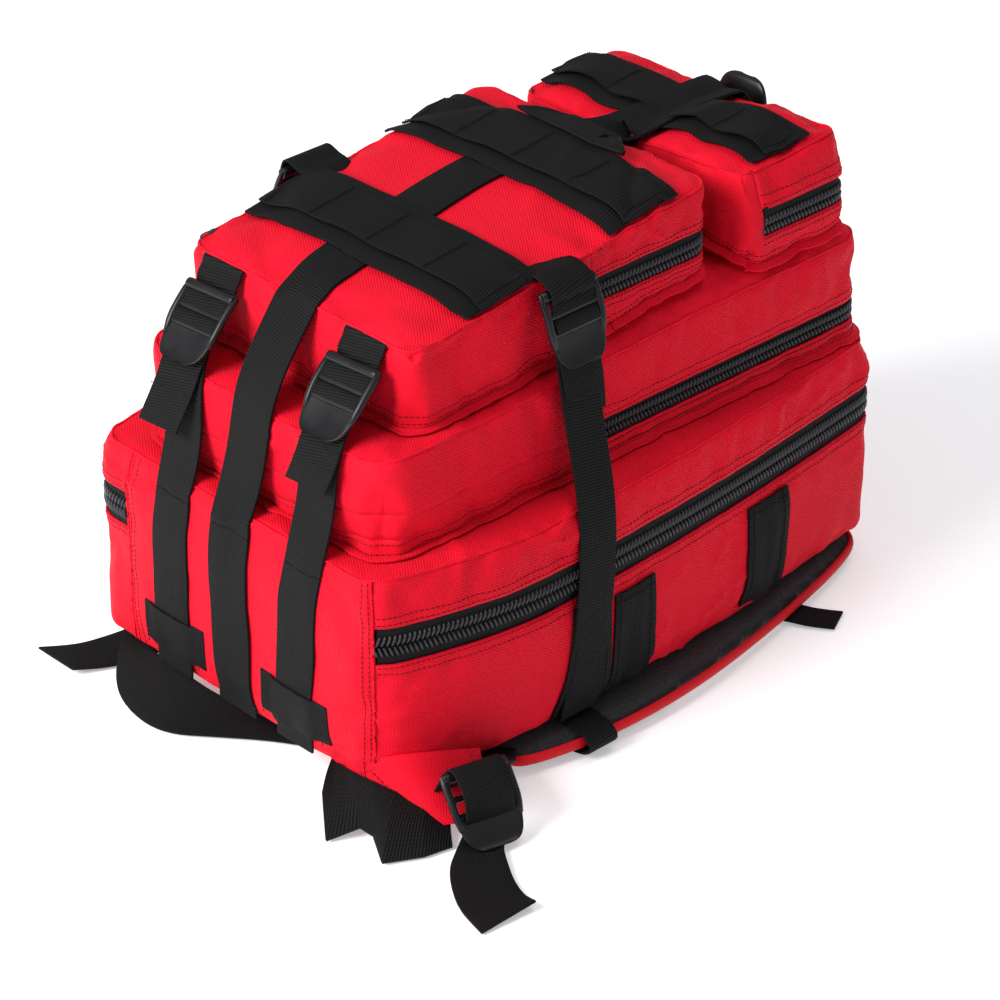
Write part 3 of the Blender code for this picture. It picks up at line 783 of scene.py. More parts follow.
def build_shells():
    low_hem, plane, high_hem = zip_lines("main")
    MAIN.part("main_rear_cloth", lambda x, y, z: z < low_hem and not on_bottom_panel(x, y), "back_half",
              ["main_rear_shell"])
    MAIN.part("main_front_cloth", lambda x, y, z: z > high_hem and not on_bottom_panel(x, y), "main_front",
              ["main_front_shell"])
    MAIN.part("bottom_panel_cloth", lambda x, y, z: on_bottom_panel(x, y), None,
              across=("back_half", "main_front", (0, END_Y, plane - 0.010), (0, END_Y, plane + 0.012)))
    base = SECOND_LOW.z
    low_hem, _, high_hem = zip_lines("second")
    SECOND.part("second_gusset_cloth", lambda x, y, z: base < z < low_hem, "main_front", ["second_gusset"])
    SECOND.part("second_cover_cloth", lambda x, y, z: z > high_hem, "second_cover", ["second_cover_shell"])
    SECOND.part("second_end_cloth", lambda x, y, z: y < SECOND_ZIP_START and low_hem < z < high_hem, None,
                across=("main_front", "second_cover", (0, 0, low_hem), (0, 0, high_hem)))
    build_pocket(LOWER, "lower", LOWER_FOLD, LOWER_HIGH.z - 0.0008, 0.012)
    build_pocket(UPPER, "upper", UPPER_FOLD, UPPER_HIGH.z - 0.0008, 0.007)


def build_pocket(skin, name, fold, face, reach):
    """A pocket's fixed walls, its flap's walls, and its face, which spans the fold."""
    base = SECOND_HIGH.z - 0.0008
    low_hem, _, high_hem = zip_lines(name)
    skin.part(f"{name}_pocket_cloth", lambda x, y, z: base < z <= face and (y < fold or z < low_hem),
              "second_cover", [f"{name}_pocket_shell"])
    skin.part(f"{name}_flap_cloth", lambda x, y, z: y > fold and high_hem < z <= face, f"{name}_flap",
              [f"{name}_flap_shell"])
    skin.part(f"{name}_face_cloth", lambda x, y, z: z > face, None,
              across=("second_cover", f"{name}_flap", (0, fold - reach, 0), (0, fold + reach, 0)))


build_shells()


# ------------------------------------------------------------------ zips
COIL_PITCH = 0.0032
COIL_LEAN = 0.35
RISE = np.array((0.0, 0.0, 1.0))


def plain_run(corners, step=0.0015):
    """Points along a polyline in plan."""
    return resample([(x, y, 0.0) for x, y in corners], step)[:, :2]


def rim_points(skin, corners, z, lift=0.0002):
    return [skin.on(x, y, z, lift)[0] for x, y in plain_run(corners, 0.002)]


def zip_run(skin, corners, z):
    """A level, smoothed line on a skin: its points, and the outward direction at each."""
    points = resample([skin.on(x, y, z)[0] for x, y in plain_run(corners)], 0.003)
    points[:, 2] = points[:, 2].mean()
    for _ in range(6):
        points[1:-1] = (points[:-2] + 2 * points[1:-1] + points[2:]) / 4
    out = np.cross(np.gradient(points, axis=0), RISE)
    return points, out / np.linalg.norm(out, axis=1, keepdims=True)


def zip_coil(name, points, body, coil, way):
    """One half of a zip's coil, as beads across its tape."""
    shapes = Shapes()
    places = resample(points, COIL_PITCH)
    for place, following in zip(places[:-1], places[1:]):
        along = (following - place) / np.linalg.norm(following - place)
        outward = np.cross(along, RISE)
        up = RISE + way * COIL_LEAN * along
        place = place - outward * 0.0006 + RISE * way * coil * 0.52 + along * COIL_PITCH * 0.25 * way
        tooth(shapes, place, along, outward, up / np.linalg.norm(up), coil * 0.50, 0.00098, 0.0020)
    shapes.piece(name, body, "zip_tape", COIL)


def zipper(name, skin, corners, lower_body, upper_body, lower_nodes, upper_nodes):
    """Both tapes, both coils and the hems' stitching of one zip."""
    plane, below, above, coil = ZIPS[name]
    points, out = zip_run(skin, corners, plane)
    for half, way, reach, body, nodes in (("lower", -1, below, lower_body, lower_nodes),
                                          ("upper", 1, above, upper_body, upper_nodes)):
        columns = (0.0003, 0.5 * reach, reach + 0.0018)
        lattice = np.stack([points - out * 0.0016 + RISE * way * column for column in columns], axis=1)
        attach(sheet(f"{name}_zip_{half}_tape", lattice, body, 0.0007, TAPE, "zip_tape", 0.0), nodes)
        zip_coil(f"{name}_zip_{half}_coil", points, body, coil, way)
        heights = [plane + way * (reach + inset) for inset in (0.0022, 0.0068)]
        rows = [rim_points(skin, corners, height, 0.00015) for height in heights]
        stitches(f"{name}_zip_{half}_stitching", rows, body)


def build_zips():
    w, e = BODY_END, -END_Y
    zipper("main", MAIN, [(w, END_Y + 0.003), (w, e), (-w, e), (-w, END_Y), (LEFT_SEAM, END_Y)], "back_half",
           "main_front", ["main_zip_rear"], ["main_zip_front"])
    w, start, end = SECOND_X, SECOND_ZIP_START, SECOND_Y[1]
    zipper("second", SECOND, [(w, start), (w, end), (-w, end), (-w, start)], "main_front", "second_cover",
           [], ["second_zip"])
    for skin, name, fold, a, b in ((LOWER, "lower", LOWER_FOLD, LOWER_LOW, LOWER_HIGH),
                                   (UPPER, "upper", UPPER_FOLD, UPPER_LOW, UPPER_HIGH)):
        corners = [(b.x, fold + 0.001), (b.x, b.y), (a.x, b.y), (a.x, fold + 0.001)]
        zipper(name, skin, corners, "second_cover", f"{name}_flap", [], [])


build_zips()


# ------------------------------------------------------------------ webbing on the pack
SKINS = [MAIN, SECOND, LOWER, UPPER]
FOLD_LOW, FOLD_HIGH = (0, END_Y, ZIPS["main"][0] - 0.010), (0, END_Y, ZIPS["main"][0] + 0.012)
LEDGE_LOW, LEDGE_HIGH = (0, END_Y, 0.160), (0, SECOND_Y[0], 0.215)
BOTTOM_LEAN = math.radians(39)       # how far the locks at the bottom end lean out
SIDE_LEAN = math.radians(15)
STRAP_SKEW = math.atan(0.072)
LOCK_DOWN = Vector((0.0, -math.sin(BOTTOM_LEAN), -math.cos(BOTTOM_LEAN)))
LOCK_OUT = Vector((0.0, -math.cos(BOTTOM_LEAN), math.sin(BOTTOM_LEAN)))


def strap_piece(name, lattice, body, nodes=(), across=None, **options):
    return attach(sheet(name, lattice, body, **options), nodes, across)


def first_row(lattice, axis, value):
    """The first row of a lattice whose middle has passed a value along an axis."""
    return next(k for k, row in enumerate(lattice) if row[len(row) // 2][axis] > value)


def build_centre_strap():
    path = [(0.000, END_Y - 0.002, MAIN_LOW.z + 0.001), (0.000, END_Y - 0.003, 0.100),
            (0.000, END_Y - 0.003, 0.158),
            (-0.001, -0.2110, 0.200), (-0.002, -0.2080, 0.235), (-0.003, -0.1780, 0.276)]
    path += [LOWER.on(x, y, LOWER_HIGH.z, 0.0005)[0]
             for x, y in ((-0.004, -0.160), (-0.006, -0.120), (-0.012, -0.075), (-0.016, -0.025), (-0.014, 0.020),
                          (-0.006, 0.066))]
    lattice = ribbon_lattice(rounded(path, 2), 0.0350, (1, 0, 0), step=0.0022)
    lattice = drape(lattice, SKINS, 0.0023, 60, held=(5, 4))
    a = first_row(lattice, 2, 0.150)
    b = first_row(lattice, 1, -0.092)
    strap_piece("centre_strap_panel", lattice[:a + 1], None, ["centre_strap_lower"],
                ("back_half", "main_front", FOLD_LOW, FOLD_HIGH), flip=True)
    strap_piece("centre_strap_ledge", lattice[a:b + 1], None, ["centre_strap_mid", "centre_strap_face"],
                ("main_front", "second_cover", LEDGE_LOW, LEDGE_HIGH), flip=True)
    strap_piece("centre_strap_pocket", lattice[b:], None, [],
                ("second_cover", "lower_flap", (0, LOWER_FOLD - 0.012, 0), (0, LOWER_FOLD + 0.012, 0)), flip=True)


STRAP_PLACES = {"left": ((0.022, -0.0600), (0.050, -0.0590), (0.100, -0.0560), (0.156, -0.0550), (0.192, -0.0575),
                         (0.225, -0.0640)),
                "right": ((0.022, 0.0550), (0.050, 0.0570), (0.100, 0.0625), (0.156, 0.0655), (0.192, 0.0645),
                          (0.225, 0.0610))}


def lock_origin(name):
    """Where a hanging lock's top bar is: on its tilt joint."""
    return pivot(f"{name}_tilt")


def build_bottom_strap(side):
    origin = lock_origin(f"bottom_lock_{side}")
    depths = (END_Y - 0.0030,) * 4 + (-0.2130, -0.2110)
    path = [(x, y, z) for (z, x), y in zip(STRAP_PLACES[side], depths)]
    path += [origin + LOCK_DOWN * down - LOCK_OUT * 0.0020 for down in (0.032, 0.014)]
    lattice = ribbon_lattice(rounded(path, 2), 0.033, (1, 0, 0), step=0.0026)
    lattice = drape(lattice, [MAIN, SECOND], 0.0017, 50, held=(4, 6))
    a = first_row(lattice, 2, 0.150)
    strap_piece(f"bottom_strap_{side}_panel", lattice[:a + 1], None, [f"bottom_strap_{side}_lower"],
                ("back_half", "main_front", FOLD_LOW, FOLD_HIGH), flip=True)
    strap_piece(f"bottom_strap_{side}_ledge", lattice[a:], None, [f"bottom_strap_{side}_upper"],
                ("main_front", "second_cover", LEDGE_LOW, LEDGE_HIGH), flip=True)
    build_patch(side)


def build_patch(side):
    """A webbing patch sewn over the strap's foot, on the bottom panel."""
    middle, half = (-0.0575, 0.0285) if side == "left" else (0.0570, 0.0310)
    strap_x = STRAP_PLACES[side][1][1]
    flat = []
    for z in np.linspace(0.0350, 0.0645, 7):
        points = []
        for u in np.linspace(-1, 1, 15):
            x = middle + half * u
            hit, normal, _, _ = MAIN.tree.ray_cast(Vector((x, END_Y - 0.05, z)), Vector((0, 1, 0)))
            over_strap = 1 - min(1.0, max(0.0, (abs(x - strap_x) - 0.0170) / 0.004))
            points.append(hit + normal * (0.0008 + 0.0024 * over_strap))
        flat.append(points)
    strap_piece(f"strap_patch_{side}_webbing", flat, "back_half", [f"strap_patch_{side}"], flip=True)
    edges = table(flat) + (0, -0.0022, 0)
    rows = [edges[:, 1], edges[:, -2]]
    stitches(f"strap_patch_{side}_stitching", rows, "back_half", BLACK_THREAD, radius=0.0004)


build_centre_strap()
for side in ("left", "right"):
    build_bottom_strap(side)


def side_lock_frame(side):
    sign = 1 if side == "right" else -1
    down = Vector((sign * math.sin(SIDE_LEAN), 0, -math.cos(SIDE_LEAN)))
    out = Vector((sign * math.cos(SIDE_LEAN), 0, math.sin(SIDE_LEAN)))
    raised = Vector((0, 0, 0)) if side == "right" else Vector((-0.002, -0.010, 0.007))
    return lock_origin(f"side_lock_{side}") + raised, down, out


def build_side_strap(side):
    """The side compression strap, from its sewn foot up to its ladder lock."""
    sign = 1 if side == "right" else -1
    origin, down, out = side_lock_frame(side)
    reach = high("side_strap_right").x
    path = [(sign * (half_width(-0.07) + 0.003), -0.0800, MAIN_LOW.z + 0.003),
            (sign * (reach + 0.003), -0.0750, 0.060), (sign * (reach + 0.003), -0.0680, 0.120),
            (sign * (reach - 0.004), -0.0610, 0.166),
            (sign * 0.1230, -0.0510, 0.222), origin + down * 0.034 - out * 0.0015,
            origin + down * 0.014 - out * 0.0020]
    lattice = ribbon_lattice(rounded(path, 2), 0.031, (0, sign, 0))
    lattice = drape(lattice, [MAIN, SECOND], 0.0012, 50, held=(2, 4))
    base = pivot(f"side_strap_{side}_swing").z
    strap_piece(f"side_strap_{side}_webbing", lattice, None, [f"side_strap_{side}"],
                ("back_half", f"side_strap_{side}", (0, 0, base - 0.010), (0, 0, base + 0.010)), flip=True)
    on_side(f"side_foot_{side}", sign, (-0.1000, -0.0560), (-0.0850, -0.0530), (0.022, 0.100), 0.0006,
            [f"side_strap_anchor_{side}"])
    on_side(f"side_patch_{side}", sign, (-0.0550, -0.0150), (-0.0490, -0.0110), (0.022, 0.0950), 0.0004, [],
            ridge=0.0022)
    on_side(f"side_molle_{side}_webbing", sign, (0.0780, 0.1210), (0.0810, 0.1230), (0.026, 0.0990), 0.0004,
            [f"side_molle_{side}"], ridge=0.0018)


def on_side(name, sign, foot, head, heights, lift, nodes, ridge=0.0):
    """Webbing sewn flat on a side panel. `foot` and `head` are its two ends' places along the pack."""
    lattice = []
    for z in np.linspace(heights[0], heights[1], 14):
        share = (z - heights[0]) / (heights[1] - heights[0])
        row = []
        for v in np.linspace(0, 1, 9):
            y = (foot[0] + (foot[1] - foot[0]) * v) * (1 - share) + (head[0] + (head[1] - head[0]) * v) * share
            crest = ridge * math.exp(-((v - 0.62) / 0.09) ** 2) * (1 - 0.5 * share)
            row.append(MAIN.on(sign * BODY_END, y, z, lift + crest)[0])
        lattice.append(row)
    strap_piece(name, lattice, "back_half", nodes, thickness=0.0016, flip=sign < 0)
    edge = table(lattice) + (sign * 0.0019, 0, 0)
    stitches(f"{name}_stitching", [edge[-2], edge[:, 1], edge[:, -2]], "back_half", BLACK_THREAD, radius=0.0003)


for side in ("left", "right"):
    build_side_strap(side)


MOLLE_BARS = 4


def face_strip(name, skin, top, x_range, y_range, lift, body, wave, nodes=()):
    """A strip of webbing across a pocket's face, sewn down at evenly spaced bars and a little slack between."""
    lattice = []
    for u in np.linspace(0, 1, 73):
        x = x_range[0] + (x_range[1] - x_range[0]) * u
        row = []
        for v in np.linspace(0, 1, 7):
            y = y_range[0] + (y_range[1] - y_range[0]) * v
            loose = math.sin(math.pi * (u * MOLLE_BARS % 1.0)) ** 2 * wave
            edge = (1 - v) ** 2 + 0.25 * v ** 4
            sway = 0.6 * wave * math.sin(2 * math.pi * u * MOLLE_BARS) * (1 - v)
            row.append(skin.on(x, y - sway, top, lift + loose * edge)[0])
        lattice.append(row)
    strap_piece(name, lattice, body, nodes, thickness=0.0016, flip=True)
    return table(lattice)


def molle_row(number, skin, top, body, slack):
    a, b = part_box(f"molle_row_{number}")
    xs = (a.x - 0.002, b.x + 0.002)
    depth = b.y - a.y
    face_strip(f"molle_{number}_base", skin, top, xs, (a.y, b.y), 0.0020, body, 0.0006 * slack,
               [f"molle_row_{number}"])
    raised = (a.y + depth * 0.22, b.y - depth * 0.16)
    lattice = face_strip(f"molle_{number}_loops", skin, top, xs, raised, 0.0042, body, 0.0012 * slack)
    bars = [lattice[k] + (0, 0, 0.0019) for k in (2, 18, 36, 54, 70)]
    tacks = [bar + (shift, 0, 0) for bar in bars for shift in (-0.0008, 0.0008)]
    stitches(f"molle_{number}_bar_tacks", tacks, body, BLACK_THREAD, 0.0016, 0.0004, 0.0004)


molle_row(1, LOWER, LOWER_HIGH.z, "second_cover", 0.6)
molle_row(2, LOWER, LOWER_HIGH.z, "lower_flap", 0.8)
molle_row(3, UPPER, UPPER_HIGH.z, "upper_flap", 2.6)


def build_yoke():
    """The trapezoid patch at the centre strap's end, and the strap that crosses the upper pocket."""
    lattice = []
    for v in np.linspace(0, 1, 9):
        y = 0.0560 + 0.0310 * v
        half = 0.0460 - 0.0270 * v ** 0.8
        row = [LOWER.on(-0.002 + half * u, y + 0.004 * (1 - v) * u * u, LOWER_HIGH.z, 0.0036)[0]
               for u in np.linspace(-1, 1, 9)]
        lattice.append(row)
    strap_piece("yoke_patch", lattice, "lower_flap", ["centre_strap_yoke"], thickness=0.0016)
    lattice = table(lattice)
    border = np.concatenate((lattice[:, 0], lattice[-1], lattice[::-1, -1], lattice[0, ::-1])) + (0, 0, 0.0010)
    seam("yoke_patch_binding", border, "lower_flap", 0.0014, WEB, closed=True)
    end = pivot("top_lock_tilt")
    top = LOWER.on(0, 0.075, LOWER_HIGH.z)[0].z
    path = [(-0.002, 0.066, top + 0.0050), (-0.001, 0.086, top + 0.0040), (0.001, 0.104, 0.3150),
            (0.002, 0.124, 0.3100), (0.002, 0.150, 0.3090), (0.002, 0.180, 0.3080), (0.001, 0.200, 0.3050),
            (0.000, end.y - 0.001, 0.2990), (0.000, end.y + 0.003, 0.2900), (0.000, end.y + 0.003, 0.2820)]
    strap = ribbon_lattice(rounded(path, 2), 0.036, (1, 0, 0))
    strap = drape(strap, [UPPER], 0.0048, 30, held=(3, 3))
    hinge = pivot("yoke_strap_lift").y
    strap_piece("yoke_strap_webbing", strap, None, ["yoke_strap"],
                ("lower_flap", "yoke_strap", (0, hinge - 0.010, 0), (0, hinge + 0.010, 0)))


build_yoke()


# ------------------------------------------------------------------ ladder locks
LOCK_HALF = 0.0240
# Each bar's place along the lock and out of it, its radius and its flatness
LOCK_BARS = ((0.0010, 0.0006, 0.0036, 0.95), (-0.0125, 0.0022, 0.0020, 0.7), (-0.0235, 0.0032, 0.0020, 0.7))
# Where the webbing round each bar starts and ends along the lock, and how far out it lies
LOCK_WRAPS = ((-0.0004, -0.0150, 0.0014), (-0.0140, -0.0262, 0.0028))


def slab(rows, thick):
    """Points and faces of a plate that is `thick` deep under rows of points."""
    top = [p for row in rows for p in row]
    columns, count = len(rows[0]), len(rows) * len(rows[0])
    faces = []
    for r in range(len(rows) - 1):
        for c in range(columns - 1):
            a = r * columns + c
            faces.append([a, a + columns, a + columns + 1, a + 1])
            faces.append([count + a, count + a + 1, count + a + columns + 1, count + a + columns])
    loop = list(range(columns)) + [r * columns + columns - 1 for r in range(1, len(rows))]
    loop += [(len(rows) - 1) * columns + c for c in range(columns - 2, -1, -1)]
    loop += [r * columns for r in range(len(rows) - 2, 0, -1)]
    faces += [[a, b, count + b, count + a] for a, b in zip(loop, loop[1:] + loop[:1])]
    return top + [(x, y, z - thick) for x, y, z in top], faces


def lock_mesh():
    """A two-slot ladder lock: rails, three bars and the lifting tongue. It hangs along -Y, outer face to +Z."""
    shapes = Shapes()
    rail = rounded([(0.0, 0.0035, 0.0), (0.0, -0.008, 0.0022), (0.0, -0.020, 0.0034), (0.0, -0.032, 0.0030)], 2)
    for sign in (-1, 1):
        path = [(sign * (LOCK_HALF - 0.0026 - 0.0012 * max(0.0, -y - 0.020) / 0.012), y, z) for _, y, z in rail]
        shapes.tube(path, capped(path, 0.0027, 0.7), 10, 0.85)
    for y, z, radius, flat in LOCK_BARS:
        path = resample([(-LOCK_HALF + 0.002, y, z), (LOCK_HALF - 0.002, y, z)], 0.004)
        shapes.tube(path, radius, 10, flat)
    rows = []
    for t in np.linspace(0, 1, 15):
        y = -0.0240 - 0.0230 * math.sin(math.pi / 2 * t)
        half = (LOCK_HALF - 0.0022) * math.cos(math.pi / 2 * min(t, 0.97)) ** 0.42
        rows.append([(half * u, y, 0.0030 + 0.0042 * t * t + 0.0008 * u * u) for u in np.linspace(-1, 1, 11)])
    shapes.add(*slab(rows, 0.0024))
    return shapes


LOCK = lock_mesh()


def across_rows(path, make):
    """Rows of five points across a strap. `make` gives a point from a place on the path and a share of width."""
    return [[make(*place, share) for share in np.linspace(-1, 1, 5)] for place in path]


def wrap_path(start, end, out):
    """Half a turn of webbing round a lock's bar."""
    path = []
    for angle in np.linspace(math.pi, 0, 9):
        y = (start + end) / 2 + (start - end) / 2 * math.cos(math.pi - angle)
        path.append((y, out + 0.0034 * math.sin(angle) - 0.0010))
    return path


def place_lock(name, origin, turn, body, strap_width=0.036, wraps=True, tail=None):
    """A lock at `origin`, turned by the matrix `turn`, with the webbing that wraps its bars."""
    matrix = Matrix.Translation(origin) @ turn
    mesh = mesh_from(name, [matrix @ Vector(p) for p in LOCK.points], LOCK.faces)
    mesh.shade_smooth()
    piece = new_piece(f"{name}_moulding", mesh, body, "black_plastic", PLASTIC)
    bevel = piece.modifiers.new("Edges", "BEVEL")
    bevel.width = 0.0005
    bevel.segments = 2
    bevel.limit_method = "ANGLE"
    bevel.angle_limit = math.radians(55)
    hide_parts(name)
    half = strap_width / 2
    for number, settings in enumerate(LOCK_WRAPS if wraps else ()):
        rows = across_rows(wrap_path(*settings), lambda y, z, u: matrix @ Vector((u * (half + 0.0014), y, z)))
        sheet(f"{name}_wrap_{number}", rows, body, 0.0014)
    if tail:
        rows = across_rows(rounded(tail, 2), lambda y, z, shift, u: matrix @ Vector((u * half + shift, y, z)))
        sheet(f"{name}_tail", rows, body)
        out = matrix.to_3x3() @ Vector((0, 0, 0.0021))
        ends = table((rows[-3], rows[-6])) + tuple(out)
        stitches(f"{name}_tail_stitching", ends, body, BLACK_THREAD, radius=0.0003)


def build_locks():
    hang = Matrix.Rotation(math.pi / 2 - BOTTOM_LEAN, 4, "X")
    side_hang = Matrix.Rotation(math.pi / 2 - SIDE_LEAN, 4, "X")
    skew = Matrix.Rotation(-STRAP_SKEW, 4, "Y")
    for side, length in (("left", 0.088), ("right", 0.076)):
        origin = lock_origin(f"bottom_lock_{side}")
        tail = [(-0.027, 0.0000, 0.0), (-0.045, 0.0000, 0.0), (-0.060, -0.0030, 0.0), (-length, -0.0080, -0.004)]
        place_lock(f"bottom_lock_{side}", origin, skew @ hang, f"bottom_lock_{side}", tail=tail)
        rim = LOWER.on(origin.x, LOWER_LOW.y, LOWER_HIGH.z)[0]
        path = [(rim.y + 0.0015, rim.z - 0.0012), (rim.y - 0.0016, rim.z - 0.0018),
                (rim.y - 0.0030, rim.z - 0.007),
                (origin.y + 0.0048, origin.z + 0.0070), (origin.y + 0.0044, origin.z + 0.0010),
                (origin.y + 0.0022, origin.z - 0.0060)]
        rows = across_rows(rounded(path, 2), lambda y, z, u: (origin.x + u * 0.018, y, z))
        sheet(f"bottom_lock_{side}_tab", rows, "second_cover", 0.0016, flip=True)
    for side, sign in (("right", 1), ("left", -1)):
        origin, down, out = side_lock_frame(side)
        turn = Matrix.Rotation(math.radians(90 * sign), 4, "Z") @ side_hang
        tail = [(-0.027, 0.0000, 0.0), (-0.050, 0.0010, 0.0), (-0.066, 0.0, 0.0), (-0.082, -0.0030, 0.0)]
        place_lock(f"side_lock_{side}", origin, turn, f"side_lock_{side}", 0.033, tail=tail)
        rim = LOWER.on(LOWER_HIGH.x if sign > 0 else LOWER_LOW.x, origin.y, LOWER_HIGH.z)[0]
        arch = 0.0 if sign > 0 else 0.0035
        path = [(rim.x - sign * 0.014, rim.z + 0.0010), (rim.x - sign * 0.004, rim.z + 0.0022 + arch),
                (rim.x + sign * 0.002, rim.z + 0.0024 + arch),
                (origin.x + sign * 0.0015, origin.z + 0.0060 + arch),
                (origin.x + sign * 0.0050, origin.z + 0.0024), (origin.x + sign * 0.0052, origin.z - 0.0025)]
        rows = across_rows(rounded(path, 2), lambda x, z, u: (x, origin.y + u * 0.018, z))
        sheet(f"side_lock_{side}_tab", rows, "second_cover", 0.0016, flip=sign > 0)
    upright = Matrix.Rotation(math.radians(-90), 4, "X")
    place_lock("top_lock", lock_origin("top_lock"), upright, "top_lock", 0.031)


build_locks()


# ------------------------------------------------------------------ seams of the compartments
def round_loop(a, b):
    """Plan corners all round a box."""
    return [(b.x, 0), (b.x, b.y), (a.x, b.y), (a.x, a.y), (b.x, a.y), (b.x, 0)]


def resting_height(below, x, y):
    """Height of a skin's face at a place in plan."""
    hit = below.tree.ray_cast(Vector((x, y, 0.40)), Vector((0, 0, -1)))[0]
    return hit.z if hit is not None else None


def base_lip(name, skin, below, corners, z, body, out=0.0050):
    """The thin flange of cloth round a compartment's foot, and two rows of stitching above it."""
    run = plain_run(corners, 0.002)
    heights = [resting_height(below, x * 0.985, y) or z for x, y in run]
    heights = np.convolve(np.pad(np.maximum(heights, z), 12, mode="edge"), np.full(25, 1 / 25), "valid")
    foot = [skin.on(x, y, height + 0.0030, 0.0002)[0] for (x, y), height in zip(run, heights)]
    points = resample(foot, 0.004)
    along = np.roll(points, -1, axis=0) - np.roll(points, 1, axis=0)
    outward = np.cross(along, (0, 0, 1))
    outward = outward / np.linalg.norm(outward, axis=1, keepdims=True)
    lattice = []
    for place, away in zip(points, outward):
        row = []
        for reach, drop in ((-0.0004, 0.0), (0.35 * out, 0.0022), (out, 0.0034)):
            point = Vector(place + away * reach) - Vector((0, 0, drop))
            hit, normal, _, _ = below.tree.find_nearest(point)
            if (point - hit).dot(normal) < 0.0012:
                point = hit + normal * 0.0012
            row.append(point)
        lattice.append(row)
    sheet(f"{name}_base_lip", lattice, body, 0.0013, RED, "red_cloth")
    rows = [[skin.on(x, y, height + above, 0.00015)[0] for (x, y), height in zip(run, heights)]
            for above in (0.0060, 0.0110)]
    stitches(f"{name}_base_stitching", rows, body)


def build_seams():
    main_a, main_b = Vector((-BODY_END, END_Y, 0)), Vector((BODY_END, -END_Y, 0))
    second_a, second_b = Vector((-SECOND_X, SECOND_Y[0], 0)), Vector((SECOND_X, SECOND_Y[1], 0))
    seam("main_front_rim_seam", rim_points(MAIN, round_loop(main_a, main_b), MAIN_HIGH.z), "main_front", 0.0011,
         closed=True)
    seam("second_rim_seam", rim_points(SECOND, round_loop(second_a, second_b), SECOND_HIGH.z), "second_cover",
         0.0010, closed=True)
    for skin, name, fold, a, b in ((LOWER, "lower", LOWER_FOLD, LOWER_LOW, LOWER_HIGH),
                                   (UPPER, "upper", UPPER_FOLD, UPPER_LOW, UPPER_HIGH)):
        fixed = [(a.x, fold), (a.x, a.y), (b.x, a.y), (b.x, fold)]
        moving = [(b.x, fold), (b.x, b.y), (a.x, b.y), (a.x, fold)]
        seam(f"{name}_rim_seam_fixed", rim_points(skin, fixed, b.z), "second_cover", 0.0010)
        seam(f"{name}_rim_seam_flap", rim_points(skin, moving, b.z), f"{name}_flap", 0.0010)
        base_lip(name, skin, SECOND, round_loop(a, b), SECOND_HIGH.z - 0.001, "second_cover", 0.0042)
    base_lip("second", SECOND, MAIN, round_loop(second_a, second_b), SECOND_LOW.z - 0.001, "main_front")
    bend = ("back_half", "main_front", FOLD_LOW, FOLD_HIGH)
    heights = np.linspace(MAIN_LOW.z + 0.003, MAIN_HIGH.z - 0.001, 70)
    for name, x, ways in (("right", BODY_END, (-0.0035, -0.0085)), ("left", LEFT_SEAM, (0.0030, 0.0075))):
        run = [MAIN.on(x, END_Y, z, 0.0001)[0] for z in heights]
        seam(f"bottom_seam_{name}", run, None, 0.0009, across=bend)
        rows = [[MAIN.on(x + way, END_Y, z, 0.00015)[0] for z in heights] for way in ways]
        stitches(f"bottom_seam_{name}_stitching", rows, None, across=bend)


build_seams()


# ------------------------------------------------------------------ sliders
def build_slider(name, way):
    """A coil zip's slider and its pull tab, on a top end."""
    a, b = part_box(name)
    middle = (a + b) / 2
    shapes = Shapes()
    for y, reach, tall in ((a.y + 0.0012, 0.0056, 0.0060), (b.y - 0.0014, 0.0060, 0.0050)):
        run = [(middle.x + reach * u, y, middle.z + 0.0010) for u in np.linspace(-1, 1, 9)]
        shape = [tall * (1 - 0.25 * abs(u) ** 3) * (0.72 if abs(u) > 0.99 else 1.0) for u in np.linspace(-1, 1, 9)]
        shapes.tube(run, shape, 12, 0.22, up=(0, 1, 0))
    arch = [(middle.x + 0.0042 * math.cos(t), b.y - 0.0008 + 0.0022 * math.sin(t), middle.z + 0.001)
            for t in np.linspace(math.pi, 0, 9)]
    shapes.tube(arch, 0.0009, 8)
    attach(shapes.piece(f"{name}_body", name, "slider_metal", METAL), [name])
    pull = name.replace("slider", "pull")
    a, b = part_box(pull)
    y = (a.y + b.y) / 2
    root = a.x if way > 0 else b.x
    shapes = Shapes()
    ring = [(root + way * (0.0035 + 0.0042 * math.cos(t)), y, (a.z + b.z) / 2 + 0.0026 * math.sin(t))
            for t in np.linspace(0, 2 * math.pi, 17)[:-1]]
    shapes.tube(ring, 0.0007, 8, closed=True, up=(0, 1, 0))
    tab = [(root + way * reach, y, (a.z + b.z) / 2) for reach in np.linspace(0.0075, 0.0290, 12)]
    widths = [0.0024 + 0.0014 * math.sin(math.pi * min(1.0, k / 9)) for k in range(12)]
    widths[0], widths[-1] = 0.0015, 0.0018
    shapes.tube(tab, widths, 12, 0.24, up=(0, 1, 0))
    attach(shapes.piece(f"{pull}_tab", pull, "slider_metal", METAL), [pull])


for name, way in (("main_slider_right", 1), ("main_slider_left", -1), ("second_slider", 1), ("lower_slider", 1),
                  ("upper_slider", 1)):
    build_slider(name, way)


# ------------------------------------------------------------------ harness under the pack
def outline_of(node):
    """A flat node's outline in plan, as an ordered loop of points."""
    bm = bmesh.new()
    bm.from_mesh(frame["nodes"][node].data)
    bmesh.ops.remove_doubles(bm, verts=bm.verts, dist=1e-5)
    top = {f for f in bm.faces if f.normal.z > 0.9}
    following = {}
    for face in top:
        for loop in face.loops:
            if sum(f in top for f in loop.edge.link_faces) == 1:
                following[loop.vert] = loop.link_loop_next.vert
    start = next(iter(following))
    loop, vertex = [], start
    while True:
        loop.append((vertex.co.x, vertex.co.y))
        vertex = following[vertex]
        if vertex is start:
            break
    bm.free()
    return loop


